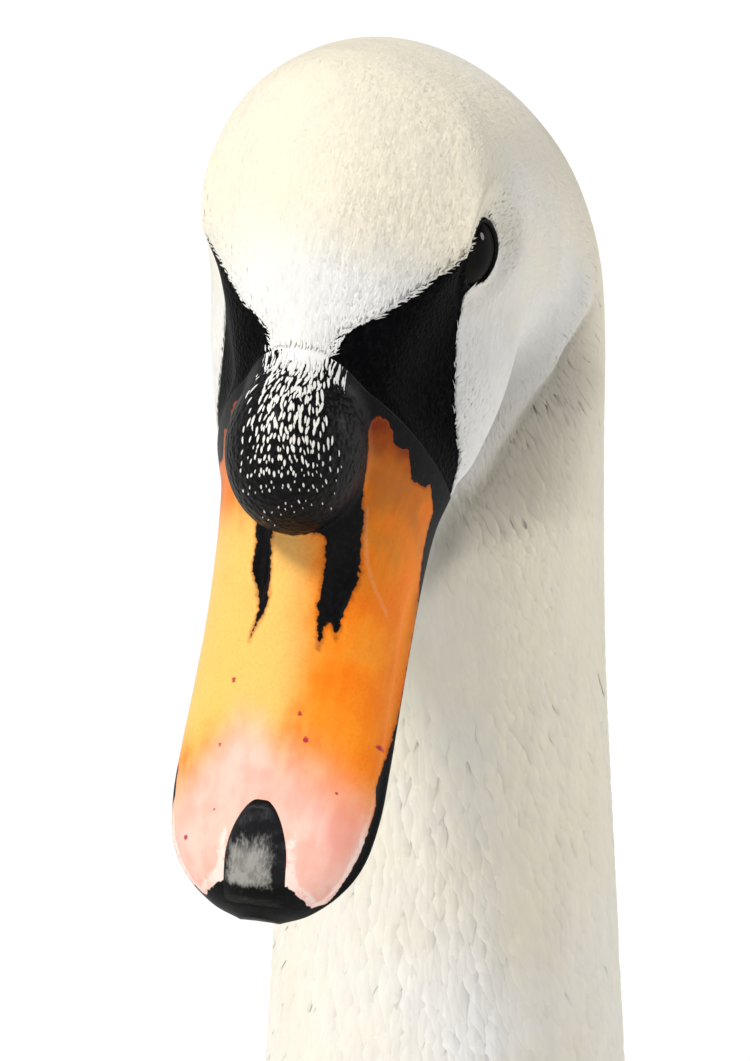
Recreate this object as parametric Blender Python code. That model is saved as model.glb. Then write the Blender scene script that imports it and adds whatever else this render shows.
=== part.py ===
"""A life-size adult male mute swan standing on both webbed feet, its neck arched and its bill held down.

Metres, +Z up. The swan faces -Y and its left side is +X. Body sections are read in the side view, as
(y, z) points, and head sections in the head's own frame: f runs from the eyes towards the bill's tip and
u runs from the eyes towards the crown. Everything is set on the floor over the origin at the end.
"""

import math

import bmesh
import bpy
import numpy as np
from mathutils import Matrix, Vector

MM = 0.001
GAP = 0.0004

# The head: the eyes' place over the floor, and how far the bill's axis dips below the horizontal.
EYE_Y, EYE_Z = -0.200, 0.930
HEAD_PITCH = math.radians(50)
EYE_RADIUS = 9.0 * MM
EYE_CENTRE = (17.8 * MM, 7.0 * MM, 0.4 * MM)
KNOB_CENTRE = (37.2 * MM, 4.4 * MM)
KNOB_RADII = (12.7 * MM, 14.8 * MM, 15.0 * MM)
KNOB_LEAN = math.radians(30)

# Legs: the toe joint's place on the floor, the hock, and where the feathered thigh enters the belly.
TOE_JOINT = (0.078, 0.052)
HOCK = (0.080, 0.092, 0.128)
THIGH_TOP = (0.078, 0.028, 0.262)
TOE_LENGTHS = (0.104, 0.136, 0.126)
TOE_ANGLES = (-25.0, 1.0, 27.0)
TOE_HALF_WIDTH = 6.0 * MM
WEB_REACH = 0.80
WEB_THICKNESS = 2.2 * MM
CLAW_LENGTH = 11 * MM

# Sections of the body from the tail's root to the neck behind the head:
# (top y, top z, bottom y, bottom z, half width, how far the widest line lies below the middle).
BODY_SECTIONS = (
    (0.335, 0.376, 0.315, 0.300, 0.052, 0.00),
    (0.265, 0.428, 0.245, 0.243, 0.100, 0.04),
    (0.165, 0.474, 0.145, 0.193, 0.133, 0.08),
    (0.045, 0.500, 0.025, 0.170, 0.149, 0.10),
    (-0.060, 0.508, -0.095, 0.178, 0.150, 0.10),
    (-0.125, 0.514, -0.190, 0.215, 0.138, 0.06),
    (-0.160, 0.530, -0.262, 0.280, 0.117, 0.02),
    (-0.170, 0.556, -0.299, 0.360, 0.092, 0.00),
    (-0.165, 0.592, -0.296, 0.445, 0.069, 0.00),
    (-0.146, 0.634, -0.258, 0.530, 0.0535, 0.00),
    (-0.122, 0.680, -0.212, 0.606, 0.0440, 0.00),
    (-0.108, 0.730, -0.178, 0.692, 0.0355, 0.00),
    (-0.107, 0.785, -0.170, 0.769, 0.0310, 0.00),
    (-0.111, 0.832, -0.171, 0.826, 0.0292, 0.00),
    (-0.1155, 0.872, -0.1745, 0.868, 0.0298, 0.00),
    (-0.1210, 0.900, -0.1765, 0.885, 0.0312, 0.00),
    (-0.1290, 0.922, -0.1750, 0.8915, 0.0318, 0.00),
    (-0.1405, 0.939, -0.1742, 0.8945, 0.0313, 0.00),
    (-0.1540, 0.9505, -0.1740, 0.8962, 0.0304, 0.00),
    (-0.1680, 0.9585, -0.1744, 0.8972, 0.0297, 0.02),
    (-0.1830, 0.9630, -0.1756, 0.8980, 0.0292, 0.06),
)
# Sections of the head, in mm in the head's frame: (top f, top u, bottom f, bottom u, half width, drop).
HEAD_SECTIONS = (
    (-28.5, 19.0, 9.5, -37.4, 29.0, 0.10),
    (-16.0, 22.8, 11.0, -36.9, 28.8, 0.16),
    (-4.0, 22.6, 14.0, -36.5, 27.8, 0.22),
    (6.0, 20.0, 19.0, -36.2, 26.2, 0.26),
    (14.5, 17.0, 26.0, -35.6, 24.2, 0.26),
    (20.5, 15.0, 32.5, -35.0, 22.5, 0.24),
    (24.0, 13.6, 38.0, -34.2, 21.6, 0.22),
)
# The upper mandible, in mm in the head's frame: (ridge f, ridge u, edge f, edge u, half width, squareness).
UPPER_BILL_SECTIONS = (
    (24.2, 12.9, 34.6, -22.6, 21.0, 1.75),
    (33.0, 8.2, 40.5, -23.4, 19.3, 1.75),
    (42.0, 3.2, 47.5, -24.3, 18.6, 1.80),
    (51.0, -1.8, 55.0, -25.0, 18.3, 1.85),
    (61.0, -6.8, 63.0, -25.7, 18.2, 1.95),
    (72.0, -11.2, 73.0, -26.4, 18.3, 2.05),
    (83.0, -14.4, 83.5, -27.0, 18.5, 2.20),
    (92.5, -16.8, 92.5, -27.6, 18.4, 2.30),
    (100.5, -19.0, 100.5, -28.2, 17.0, 2.30),
    (106.3, -21.3, 106.3, -28.9, 13.6, 2.20),
    (110.3, -24.2, 110.3, -29.7, 8.8, 2.10),
    (112.4, -27.6, 112.2, -30.7, 3.6, 2.00),
)
# The lower mandible: (edge f, edge u, keel f, keel u, half width, squareness).
LOWER_BILL_SECTIONS = (
    (34.8, -23.1, 37.7, -33.4, 18.8, 2.2),
    (46.0, -24.5, 47.5, -33.6, 16.8, 2.2),
    (60.0, -25.9, 61.0, -33.2, 15.8, 2.2),
    (75.0, -26.9, 75.5, -32.9, 15.8, 2.2),
    (90.0, -27.8, 90.0, -33.2, 16.0, 2.2),
    (100.0, -28.6, 100.0, -33.5, 14.6, 2.2),
    (106.3, -29.5, 106.3, -33.6, 11.2, 2.1),
    (110.0, -30.6, 110.0, -33.6, 6.0, 2.0),
)
# What the folded wing lies on: the body's sections, carried on over the tail.
WING_BED = (
    (0.520, 0.352, 0.512, 0.298, 0.030, 0.00),
    (0.430, 0.378, 0.418, 0.285, 0.066, 0.00),
    (0.340, 0.404, 0.315, 0.270, 0.092, 0.00),
    (0.268, 0.434, 0.245, 0.238, 0.112, 0.02),
) + BODY_SECTIONS[2:8]
# The folded wing's outline on that bed: (section, upper edge, lower edge in degrees from the back, thickness).
WING_OUTLINE = (
    (8.05, 66.0, 80.0, 0.006),
    (7.75, 48.0, 94.0, 0.015),
    (7.25, 33.0, 103.0, 0.021),
    (6.40, 20.0, 108.0, 0.024),
    (5.40, 12.0, 108.0, 0.025),
    (4.40, 8.0, 103.0, 0.024),
    (3.50, 6.0, 95.0, 0.021),
    (2.70, 5.0, 84.0, 0.017),
    (2.10, 5.0, 70.0, 0.013),
    (1.60, 5.0, 60.0, 0.010),
    (1.00, 6.0, 50.0, 0.008),
    (0.40, 9.0, 40.0, 0.006),
)
QUILL_ROW = 8.5
WING_CLEARANCE = 2.5 * MM
# The tail: (top y, top z, bottom y, bottom z, half width, drop).
TAIL_SECTIONS = (
    (0.3345, 0.372, 0.3165, 0.304, 0.0480, 0.00),
    (0.400, 0.350, 0.394, 0.316, 0.0600, 0.00),
    (0.460, 0.330, 0.457, 0.312, 0.0600, 0.00),
    (0.508, 0.315, 0.506, 0.306, 0.0420, 0.00),
    (0.534, 0.308, 0.533, 0.304, 0.0160, 0.00),
)

WHITE = (0.86, 0.84, 0.79)
ORANGE = (0.87, 0.33, 0.05)
BLACK = (0.02, 0.02, 0.022)
DARK_GREY = (0.045, 0.045, 0.05)


def clear_scene():
    """Removes every object of the scene."""
    for obj in list(bpy.data.objects):
        bpy.data.objects.remove(obj)


def material(name, colour, roughness):
    """A plain Principled BSDF of one colour."""
    made = bpy.data.materials.get(name)
    if made is None:
        made = bpy.data.materials.new(name)
        made.use_nodes = True
        shader = made.node_tree.nodes["Principled BSDF"]
        shader.inputs["Base Color"].default_value = (*colour, 1.0)
        shader.inputs["Roughness"].default_value = roughness
    return made


PLUMAGE = ("plumage", WHITE, 0.9)
HORN = ("horn", BLACK, 0.35)
BILL_SKIN = ("bill_skin", ORANGE, 0.4)
LEG_SKIN = ("leg_skin", DARK_GREY, 0.55)
EYEBALL = ("eyeball", BLACK, 0.08)


def collection(name):
    """A new collection of the scene."""
    made = bpy.data.collections.new(name)
    bpy.context.scene.collection.children.link(made)
    return made


def add_mesh(name, points, faces, finish, home):
    """An object from points and faces, with its faces turned outwards and shaded smooth."""
    mesh = bpy.data.meshes.new(name)
    mesh.from_pydata([tuple(p) for p in points], [], [tuple(f) for f in faces])
    shell = bmesh.new()
    shell.from_mesh(mesh)
    bmesh.ops.remove_doubles(shell, verts=shell.verts, dist=0.02 * MM)
    bmesh.ops.recalc_face_normals(shell, faces=shell.faces)
    shell.to_mesh(mesh)
    shell.free()
    mesh.materials.append(material(*finish))
    mesh.shade_smooth()
    mesh.set_sharp_from_angle(angle=math.radians(50))
    obj = bpy.data.objects.new(name, mesh)
    home.objects.link(obj)
    return obj


def boolean(obj, cutter, operation="DIFFERENCE"):
    """Cuts or joins obj with a hidden helper, by an exact Boolean modifier."""
    modifier = obj.modifiers.new(cutter.name, "BOOLEAN")
    modifier.operation = operation
    modifier.solver = "EXACT"
    modifier.object = cutter
    cutter.hide_render = True
    cutter.display_type = "WIRE"


def read_sections(sections, at):
    """Rows between the given ones, on a Catmull-Rom curve; at holds fractional row numbers."""
    rows = np.array(sections, float)
    padded = np.vstack((2 * rows[0] - rows[1], rows, 2 * rows[-1] - rows[-2]))
    at = np.clip(np.atleast_1d(np.asarray(at, float)), 0, len(rows) - 1)
    first = np.minimum(at.astype(int), len(rows) - 2)
    t = (at - first)[..., None]
    p0, p1, p2, p3 = (padded[first + k] for k in range(4))
    return 0.5 * (
        2 * p1 + (p2 - p0) * t + (2 * p0 - 5 * p1 + 4 * p2 - p3) * t**2 + (3 * p1 - p0 - 3 * p2 + p3) * t**3
    )


def head_to_side(f, u):
    """A point of the head's frame in the side view, as (y, z)."""
    y = EYE_Y - f * math.cos(HEAD_PITCH) - u * math.sin(HEAD_PITCH)
    z = EYE_Z - f * math.sin(HEAD_PITCH) + u * math.cos(HEAD_PITCH)
    return y, z


def from_head(rows):
    """Section rows of the head's frame, in mm, as rows of the side view, in metres."""
    moved = []
    for top_f, top_u, low_f, low_u, half, shape in rows:
        top = head_to_side(top_f * MM, top_u * MM)
        low = head_to_side(low_f * MM, low_u * MM)
        moved.append((*top, *low, half * MM, shape))
    return tuple(moved)


SECTIONS = BODY_SECTIONS + from_head(HEAD_SECTIONS)
NECK_BASE, NECK_LOW, NECK_HIGH = 8.0, 10.6, 13.4
HEAD_BACK, HEAD_FRONT = float(len(BODY_SECTIONS) - 2), float(len(SECTIONS) - 1)


def oval(rows, angles, grow=0.0):
    """Closed rings in the planes of the rows. An angle of 0 is the top; the drop lowers the widest line."""
    top, low = rows[:, None, 0:2], rows[:, None, 2:4]
    half, drop = rows[:, None, 4], rows[:, None, 5]
    centre, rise = (top + low) / 2, (top - low) / 2
    rise = rise * (1 + grow / np.linalg.norm(rise, axis=2, keepdims=True))
    up = np.cos(angles) - drop * np.sin(angles) ** 2
    side = centre + rise * up[..., None]
    return np.dstack(((half + grow) * np.sin(angles), side))


def arch(rows, count, roof=True):
    """Closed half-round rings: an arch over a flat sole, or the reverse for a keel. The last column is squareness."""
    top, low = rows[:, None, 0:2], rows[:, None, 2:4]
    half, power = rows[:, None, 4], 2 / rows[:, None, 5]
    b = np.linspace(0, math.pi, count)
    x = np.sign(np.cos(b)) * np.abs(np.cos(b)) ** power * half
    lift = np.abs(np.sin(b)) ** power
    flat_x = np.linspace(-1, 1, count // 3 + 1)[1:-1] * half
    x = np.hstack((x, flat_x))
    lift = np.hstack((lift, np.zeros_like(flat_x)))
    if not roof:
        lift = 1 - lift
    return np.dstack((x, low + (top - low) * lift[..., None]))


def part_ends(rings):
    """Moves the first and last ring inwards by half the gap, so that a neighbour cut there stays clear."""
    for end, inner in ((0, 1), (-1, -2)):
        across = rings[end] - rings[end].mean(axis=0)
        normal = np.linalg.svd(across)[2][2]
        towards = rings[inner].mean(axis=0) - rings[end].mean(axis=0)
        rings[end] += normal * math.copysign(GAP / 2, normal @ towards)
    return rings


def tube(name, rings, finish, home):
    """A solid through closed rings of equal count, with flat caps."""
    rows, count = rings.shape[:2]
    faces = []
    for i in range(rows - 1):
        for j in range(count):
            k = (j + 1) % count
            faces.append((i * count + j, i * count + k, (i + 1) * count + k, (i + 1) * count + j))
    faces.append(tuple(range(count)))
    faces.append(tuple((rows - 1) * count + j for j in reversed(range(count))))
    return add_mesh(name, rings.reshape(-1, 3), faces, finish, home)


def slab(name, outer, inner, finish, home):
    """A solid between two grids of points, closed along their borders."""
    rows, count = outer.shape[:2]
    size = rows * count
    faces = []
    for i in range(rows - 1):
        for j in range(count - 1):
            a = i * count + j
            faces.append((a, a + 1, a + 1 + count, a + count))
            faces.append((size + a + count, size + a + 1 + count, size + a + 1, size + a))
    rim = list(range(count))
    rim += [i * count + count - 1 for i in range(1, rows)]
    rim += [(rows - 1) * count + j for j in reversed(range(count - 1))]
    rim += [i * count for i in reversed(range(1, rows - 1))]
    for a, b in zip(rim, rim[1:] + rim[:1]):
        faces.append((b, a, size + a, size + b))
    points = np.vstack((outer.reshape(-1, 3), inner.reshape(-1, 3)))
    return add_mesh(name, points, faces, finish, home)


def body_rings(start, end, count, around, grow=0.0):
    """Rings of the body, neck or head between two section numbers."""
    angles = np.linspace(0, 2 * math.pi, around, endpoint=False)
    rings = oval(read_sections(SECTIONS, np.linspace(start, end, count)), angles, grow)
    return shape_head(rings)


def shape_head(points):
    """Sinks a fold between cheek and neck, raises the brows over the eyes and hollows the lores before them."""
    y, z = points[..., 1] - EYE_Y, points[..., 2] - EYE_Z
    f = -y * math.cos(HEAD_PITCH) - z * math.sin(HEAD_PITCH)
    u = -y * math.sin(HEAD_PITCH) + z * math.cos(HEAD_PITCH)
    side = np.sign(points[..., 0]) * np.minimum(1, np.abs(points[..., 0]) / (10 * MM))
    fold_from, fold_to = np.array((10, -38)) * MM, np.array((-13, -54)) * MM
    run = fold_to - fold_from
    along = ((f - fold_from[0]) * run[0] + (u - fold_from[1]) * run[1]) / (run @ run)
    held = np.clip(along, 0, 1)
    apart = np.hypot(f - fold_from[0] - held * run[0], u - fold_from[1] - held * run[1])
    fold = 5.5 * MM * np.exp(-((apart / (5.5 * MM)) ** 2)) * (1 - 0.6 * held)
    brow = 1.0 * MM * np.exp(-(((u - 9 * MM) / (4.5 * MM)) ** 2) - ((f + 7 * MM) / (16 * MM)) ** 2)
    hollow = 3.4 * MM * np.exp(-(((u + 4 * MM) / (9 * MM)) ** 2) - ((f - 3 * MM) / (12 * MM)) ** 2)
    points[..., 0] += side * (brow - hollow - fold)
    return points


def build_body(parts, helpers):
    """Head, three lengths of neck and the trunk, parted by thin flat cuts, with a socket for each eye."""
    lengths = (
        ("trunk", 0.0, NECK_BASE, 15, 26),
        ("neck_lower", NECK_BASE, NECK_LOW, 6, 22),
        ("neck_middle", NECK_LOW, NECK_HIGH, 6, 22),
        ("neck_upper", NECK_HIGH, HEAD_BACK, 10, 22),
        ("head", HEAD_BACK, HEAD_FRONT, 15, 28),
    )
    made = {}
    for name, start, end, count, around in lengths:
        made[name] = tube(name, part_ends(body_rings(start, end, count, around)), PLUMAGE, parts)
    for side in (1, -1):
        socket = eye_ball(f"socket_{side}", side, EYE_RADIUS + GAP, helpers)
        boolean(made["head"], socket)
    return made


def eye_ball(name, side, radius, home):
    """A sphere at an eye's place."""
    shell = bmesh.new()
    bmesh.ops.create_uvsphere(shell, u_segments=14, v_segments=8, radius=radius)
    mesh = bpy.data.meshes.new(name)
    shell.to_mesh(mesh)
    shell.free()
    mesh.materials.append(material(*EYEBALL))
    mesh.shade_smooth()
    obj = bpy.data.objects.new(name, mesh)
    obj.location = (side * EYE_CENTRE[0], EYE_Y + EYE_CENTRE[1], EYE_Z + EYE_CENTRE[2])
    home.objects.link(obj)
    return obj


def build_bill(parts, helpers):
    """Both mandibles, the nail on the tip and the knob over the base, cut clear of what they sit on."""
    upper_rows = read_sections(from_head(UPPER_BILL_SECTIONS), np.linspace(0, 11, 16))
    upper = tube("bill_upper", part_ends(arch(upper_rows, 17)), BILL_SKIN, parts)
    lower_rows = read_sections(from_head(LOWER_BILL_SECTIONS), np.linspace(0, 7, 10))
    tube("bill_lower", part_ends(arch(lower_rows, 13, roof=False)), HORN, parts)
    for side in (1, -1):
        boolean(upper, nostril(side, helpers))
    build_nail(parts)
    knob = ellipsoid("bill_knob", KNOB_CENTRE, KNOB_RADII, KNOB_LEAN, 20, parts)
    bed_rows = upper_rows[:9].copy()
    bed_rows[:, 4] += GAP
    bed_rows[:, 0:2] += (bed_rows[:, 0:2] - bed_rows[:, 2:4]) * 0.012
    boolean(knob, tube("knob_bed", arch(bed_rows, 19), HORN, helpers))
    face = body_rings(HEAD_BACK + 3, HEAD_FRONT, 11, 28, grow=GAP)
    boolean(knob, tube("knob_back", face, HORN, helpers))


def ellipsoid(name, centre, radii, lean, around, home):
    """A sphere stretched to a width, a height and a length in the head's frame, leaning back by an angle."""
    shell = bmesh.new()
    bmesh.ops.create_uvsphere(shell, u_segments=around, v_segments=around // 2 + 1, radius=1.0)
    y, z = head_to_side(*centre)
    turn = Matrix.Rotation(HEAD_PITCH - lean, 4, "X")
    place = Matrix.Translation((0, y, z)) @ turn @ Matrix.Diagonal((*radii, 1.0))
    bmesh.ops.transform(shell, matrix=place, verts=shell.verts)
    mesh = bpy.data.meshes.new(name)
    shell.to_mesh(mesh)
    shell.free()
    mesh.materials.append(material(*HORN))
    mesh.shade_smooth()
    obj = bpy.data.objects.new(name, mesh)
    home.objects.link(obj)
    return obj


def nostril(side, home):
    """A long oval cutter that opens a shallow nostril beside the ridge."""
    cutter = ellipsoid(f"nostril_{side}", (61.5 * MM, -8.2 * MM), (1.6 * MM, 5.5 * MM, 2.4 * MM), 0.45, 10, home)
    cutter.location.x = side * 7.2 * MM
    return cutter


def build_nail(parts):
    """The nail: a raised shield on the bill's tip, bounded by a parabola that opens towards the tip."""
    stations = np.linspace(7.25, 10.95, 9)
    rows = read_sections(from_head(UPPER_BILL_SECTIONS), stations)
    bed = arch(rows, 61)[:, :61]
    across = np.linspace(-1, 1, 9)
    run = np.concatenate(((0,), np.cumsum(np.linalg.norm(np.diff(rows[:, 0:2], axis=0), axis=1))))
    share = 0.04 + 0.96 * run / run[-1]
    half = 6.1 * MM * (1 - (1 - share) ** 2) ** 0.75
    grid = np.empty((9, 9, 3))
    for i, row in enumerate(bed):
        wanted = np.clip(half[i] * across, -row[0, 0] * 0.92, row[0, 0] * 0.92)
        for axis in (1, 2):
            grid[i, :, axis] = np.interp(wanted, row[::-1, 0], row[::-1, axis])
        grid[i, :, 0] = wanted
    out = np.array((0, *np.subtract(head_to_side(0.25, 1.0), head_to_side(0, 0)))) / math.hypot(0.25, 1.0)
    slab("bill_nail", grid + out * 1.7 * MM, grid + out * 0.6 * MM, HORN, parts)


def wing_grid(rows, across, offset):
    """Points of the wing's bed inside its outline, raised off the bed by offset times the row's thickness."""
    outline = read_sections(WING_OUTLINE, rows)
    share = np.linspace(0, 1, across)
    angle = np.radians(outline[:, 1:2] + (outline[:, 2:3] - outline[:, 1:2]) * share)
    section = outline[:, :1] + np.zeros_like(share)

    def bed(at, turn):
        flat = read_sections(WING_BED, at.ravel())
        top, low, half, drop = flat[:, 0:2], flat[:, 2:4], flat[:, 4:5], flat[:, 5:6]
        turn = turn.reshape(-1, 1)
        side = (top + low) / 2 + (top - low) / 2 * (np.cos(turn) - drop * np.sin(turn) ** 2)
        return np.hstack((half * np.sin(turn), side)).reshape(*at.shape, 3)

    step = 0.02
    along = bed(section + step, angle) - bed(section - step, angle)
    around = bed(section, angle + step) - bed(section, angle - step)
    normal = np.cross(around, along)
    normal /= np.linalg.norm(normal, axis=2, keepdims=True)
    normal *= np.sign(normal[..., 0:1] + normal[..., 2:3])
    edge = np.sin(math.pi * np.clip(share, 0.0, 1.0)) ** 0.5
    depth = WING_CLEARANCE + offset * (2.5 * MM + outline[:, 3:4] * edge)
    return bed(section, angle) + normal * depth[..., None]


def build_wings(parts):
    """Each folded wing lies on the trunk's side, and its long quills reach on over the tail."""
    last = len(WING_OUTLINE) - 1
    for side, name in ((1, "left"), (-1, "right")):
        for part, start, end, count, across in (
            ("wing", 0.0, QUILL_ROW - 0.02, 16, 12),
            ("primaries", QUILL_ROW + 0.02, last, 6, 8),
        ):
            rows = np.linspace(start, end, count)
            outer, inner = wing_grid(rows, across, 1.0), wing_grid(rows, across, 0.0)
            mirror = np.array((side, 1, 1))
            slab(f"{part}_{name}", outer * mirror, inner * mirror, PLUMAGE, parts)


def build_tail(parts):
    """A flat wedge of tail feathers behind the trunk."""
    angles = np.linspace(0, 2 * math.pi, 18, endpoint=False)
    rings = oval(read_sections(TAIL_SECTIONS, np.linspace(0, 4, 8)), angles)
    tube("tail", part_ends(rings), PLUMAGE, parts)


def leg_rings(stations, around):
    """Level oval rings through (x, y, z, half width, half depth) stations."""
    angles = np.linspace(0, 2 * math.pi, around, endpoint=False)
    rows = np.array(stations)[:, None, :]
    rings = np.dstack((
        rows[..., 0] + rows[..., 3] * np.cos(angles),
        rows[..., 1] + rows[..., 4] * np.sin(angles),
        rows[..., 2] + np.zeros(around),
    ))
    return rings


def build_leg(side, name, parts, helpers, trunk_cutter):
    """Feathered thigh, bare shank with its two joints, and the webbed foot with its claws."""
    top, hock, joint = np.array(THIGH_TOP), np.array(HOCK), np.array((*TOE_JOINT, 0.020))
    thigh = [
        (*(top + (hock - top) * t), wide, deep)
        for t, wide, deep in (
            (0.0, 0.042, 0.062), (0.3, 0.040, 0.056), (0.55, 0.031, 0.040), (0.78, 0.020, 0.024),
            (0.92, 0.0135, 0.0155),
        )
    ]
    shank = [
        (*(hock + (joint - hock) * t), wide, deep)
        for t, wide, deep in (
            (-0.09, 0.0092, 0.0108), (0.0, 0.0105, 0.0135), (0.10, 0.0080, 0.0110), (0.3, 0.0058, 0.0090),
            (0.75, 0.0058, 0.0088), (0.92, 0.0078, 0.0100), (1.0, 0.0086, 0.0092),
        )
    ]
    mirror = np.array((side, 1, 1))
    limb = tube(f"thigh_{name}", leg_rings(thigh, 18) * mirror, PLUMAGE, parts)
    boolean(limb, trunk_cutter)
    tube(f"shank_{name}", leg_rings(shank, 14) * mirror, LEG_SKIN, parts)
    clear = np.array((0, 0, 0, GAP, GAP))
    shank_cutter = tube(f"shank_cutter_{name}", leg_rings(np.array(shank) + clear, 14) * mirror, LEG_SKIN, helpers)
    build_foot(side, name, parts)
    build_hind_toe(side, name, parts, shank_cutter)


def toe_direction(degrees):
    """A unit step forwards, turned outwards by an angle."""
    return np.array((math.sin(math.radians(degrees)), -math.cos(math.radians(degrees))))


def build_foot(side, name, parts):
    """Three toes joined by two webs on a flat sole, with a claw on each toe."""
    columns = foot_columns()
    rows = np.linspace(0, 1, 9)
    top, sole = np.zeros((len(rows), len(columns), 3)), np.zeros((len(rows), len(columns), 3))
    for j, (angle, sideways, reach, ridge) in enumerate(columns):
        ahead = toe_direction(angle)
        across = np.array((-ahead[1], ahead[0]))
        heel_turn = math.pi * (1 - j / (len(columns) - 1))
        heel = np.array((math.cos(heel_turn) * 8.5 * MM, math.sin(heel_turn) * 9.5 * MM))
        for i, share in enumerate(rows):
            out = 0.010 + (reach - 0.010) * (share - rows[1]) / (1 - rows[1])
            place = ahead * out + across * sideways * min(1, out / 0.030) * (1 - 0.45 * share**6)
            if i == 0:
                place = heel
            hump = 1 + 0.22 * math.cos(share * math.pi * 7)
            height = WEB_THICKNESS + ridge * ((1 - 0.45 * share) * hump if i < len(rows) - 1 else 0.25)
            joint = 16.5 * MM * math.exp(-((out / 0.016) ** 2)) if i else 15.0 * MM
            spot = np.array(TOE_JOINT) + place
            top[i, j] = (*spot, min(height + joint, 19.5 * MM))
            sole[i, j] = (*spot, 0.0)
    mirror = np.array((side, 1, 1))
    slab(f"foot_{name}", top * mirror, sole * mirror, LEG_SKIN, parts)
    for toe, (angle, length) in enumerate(zip(TOE_ANGLES, TOE_LENGTHS)):
        start = np.array(TOE_JOINT) + toe_direction(angle) * (length + GAP)
        claw(f"claw_{name}_{toe + 1}", start, angle, 3.4 * MM, side, parts)


def foot_columns():
    """Columns across the foot from inner to outer toe: (angle, sideways offset, reach, ridge height)."""
    columns = []
    for toe, (angle, length) in enumerate(zip(TOE_ANGLES, TOE_LENGTHS)):
        if toe:
            before, before_length = TOE_ANGLES[toe - 1], TOE_LENGTHS[toe - 1]
            for share in (0.3, 0.5, 0.7):
                reach = WEB_REACH * (before_length + (length - before_length) * share)
                sag = 1 - 0.10 * math.sin(share * math.pi)
                columns.append((before + (angle - before) * share, 0.0, reach * sag + 0.008, 0.0))
        for offset, ridge in ((-1.0, 1.5 * MM), (0.0, 7.5 * MM), (1.0, 1.5 * MM)):
            reach = length if offset == 0 else length - 4 * MM
            columns.append((angle, offset * TOE_HALF_WIDTH, reach, ridge))
    return columns


def claw(name, start, angle, radius, side, parts, height=None):
    """A short curved cone that points along its toe and stays just clear of the floor."""
    ahead = toe_direction(angle)
    across = np.array((-ahead[1], ahead[0], 0.0))
    turns = np.linspace(0, 2 * math.pi, 8, endpoint=False)
    base = radius + 0.5 * MM if height is None else height
    rings = []
    for share in (0.0, 0.4, 0.75, 1.0):
        size = radius * (1 - 0.82 * share**1.4)
        drop = (base - size - 0.5 * MM) * share**1.6 if height is None else 4 * MM * share**1.6
        centre = np.array((*(start + ahead * CLAW_LENGTH * share), base - drop))
        rings.append([centre + across * size * 0.8 * math.cos(a) + np.array((0, 0, size * math.sin(a))) for a in turns])
    return tube(name, np.array(rings) * np.array((side, 1, 1)), HORN, parts)


def build_hind_toe(side, name, parts, shank_cutter):
    """A small raised toe behind the shank's foot, with its own claw."""
    turns = np.linspace(0, 2 * math.pi, 10, endpoint=False)
    start = np.array(TOE_JOINT) + np.array((-0.002, 0.0085))
    rings = []
    for share, size in ((0.0, 4.6 * MM), (0.35, 4.2 * MM), (0.75, 3.4 * MM), (1.0, 2.4 * MM)):
        centre = np.array((start[0] - 0.004 * share, start[1] + 0.0225 * share, 0.0260 - 0.0145 * share))
        rings.append([centre + np.array((size * math.cos(a), 0.0, size * math.sin(a))) for a in turns])
    toe = tube(f"hind_toe_{name}", np.array(rings) * np.array((side, 1, 1)), LEG_SKIN, parts)
    boolean(toe, shank_cutter)
    tip = np.array((start[0] - 0.004, start[1] + 0.0225 + GAP))
    claw(f"claw_{name}_hind", tip, 180.0, 2.0 * MM, side, parts, height=0.0115)


def set_on_origin(parts):
    """Moves the whole swan so that its bounding box stands on the floor over the origin."""
    bpy.context.view_layer.update()
    graph = bpy.context.evaluated_depsgraph_get()
    corners = [
        obj.evaluated_get(graph).matrix_world @ Vector(corner)
        for obj in parts.objects
        for corner in obj.evaluated_get(graph).bound_box
    ]
    back, front = max(c.y for c in corners), min(c.y for c in corners)
    for obj in bpy.data.objects:
        obj.location.y -= (back + front) / 2


def main():
    clear_scene()
    parts, helpers = collection("mute_swan"), collection("cutters")
    build_body(parts, helpers)
    for side, name in ((1, "left"), (-1, "right")):
        eye_ball(f"eye_{name}", side, EYE_RADIUS, parts)
    build_bill(parts, helpers)
    build_wings(parts)
    build_tail(parts)
    trunk_cutter = tube("belly_cutter", body_rings(0.0, NECK_BASE, 15, 26, grow=GAP), PLUMAGE, helpers)
    for side, name in ((1, "left"), (-1, "right")):
        build_leg(side, name, parts, helpers, trunk_cutter)
    set_on_origin(parts)


main()
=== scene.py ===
"""The looks of a life-size mute swan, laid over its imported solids.

One skin takes the place of the flesh, the wings and the legs. Feathers are solid mesh planted on that skin,
along the lie of the coat. The bill with its knob, the nail, the claws and the eyes are pieces of their own.
Metres, +Z up; the swan faces -Y and its left side is +X. Head shapes are in mm in the head's frame: f runs
from the eyes towards the bill's tip, u towards the crown, and x to the swan's left.
"""

import math

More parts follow.
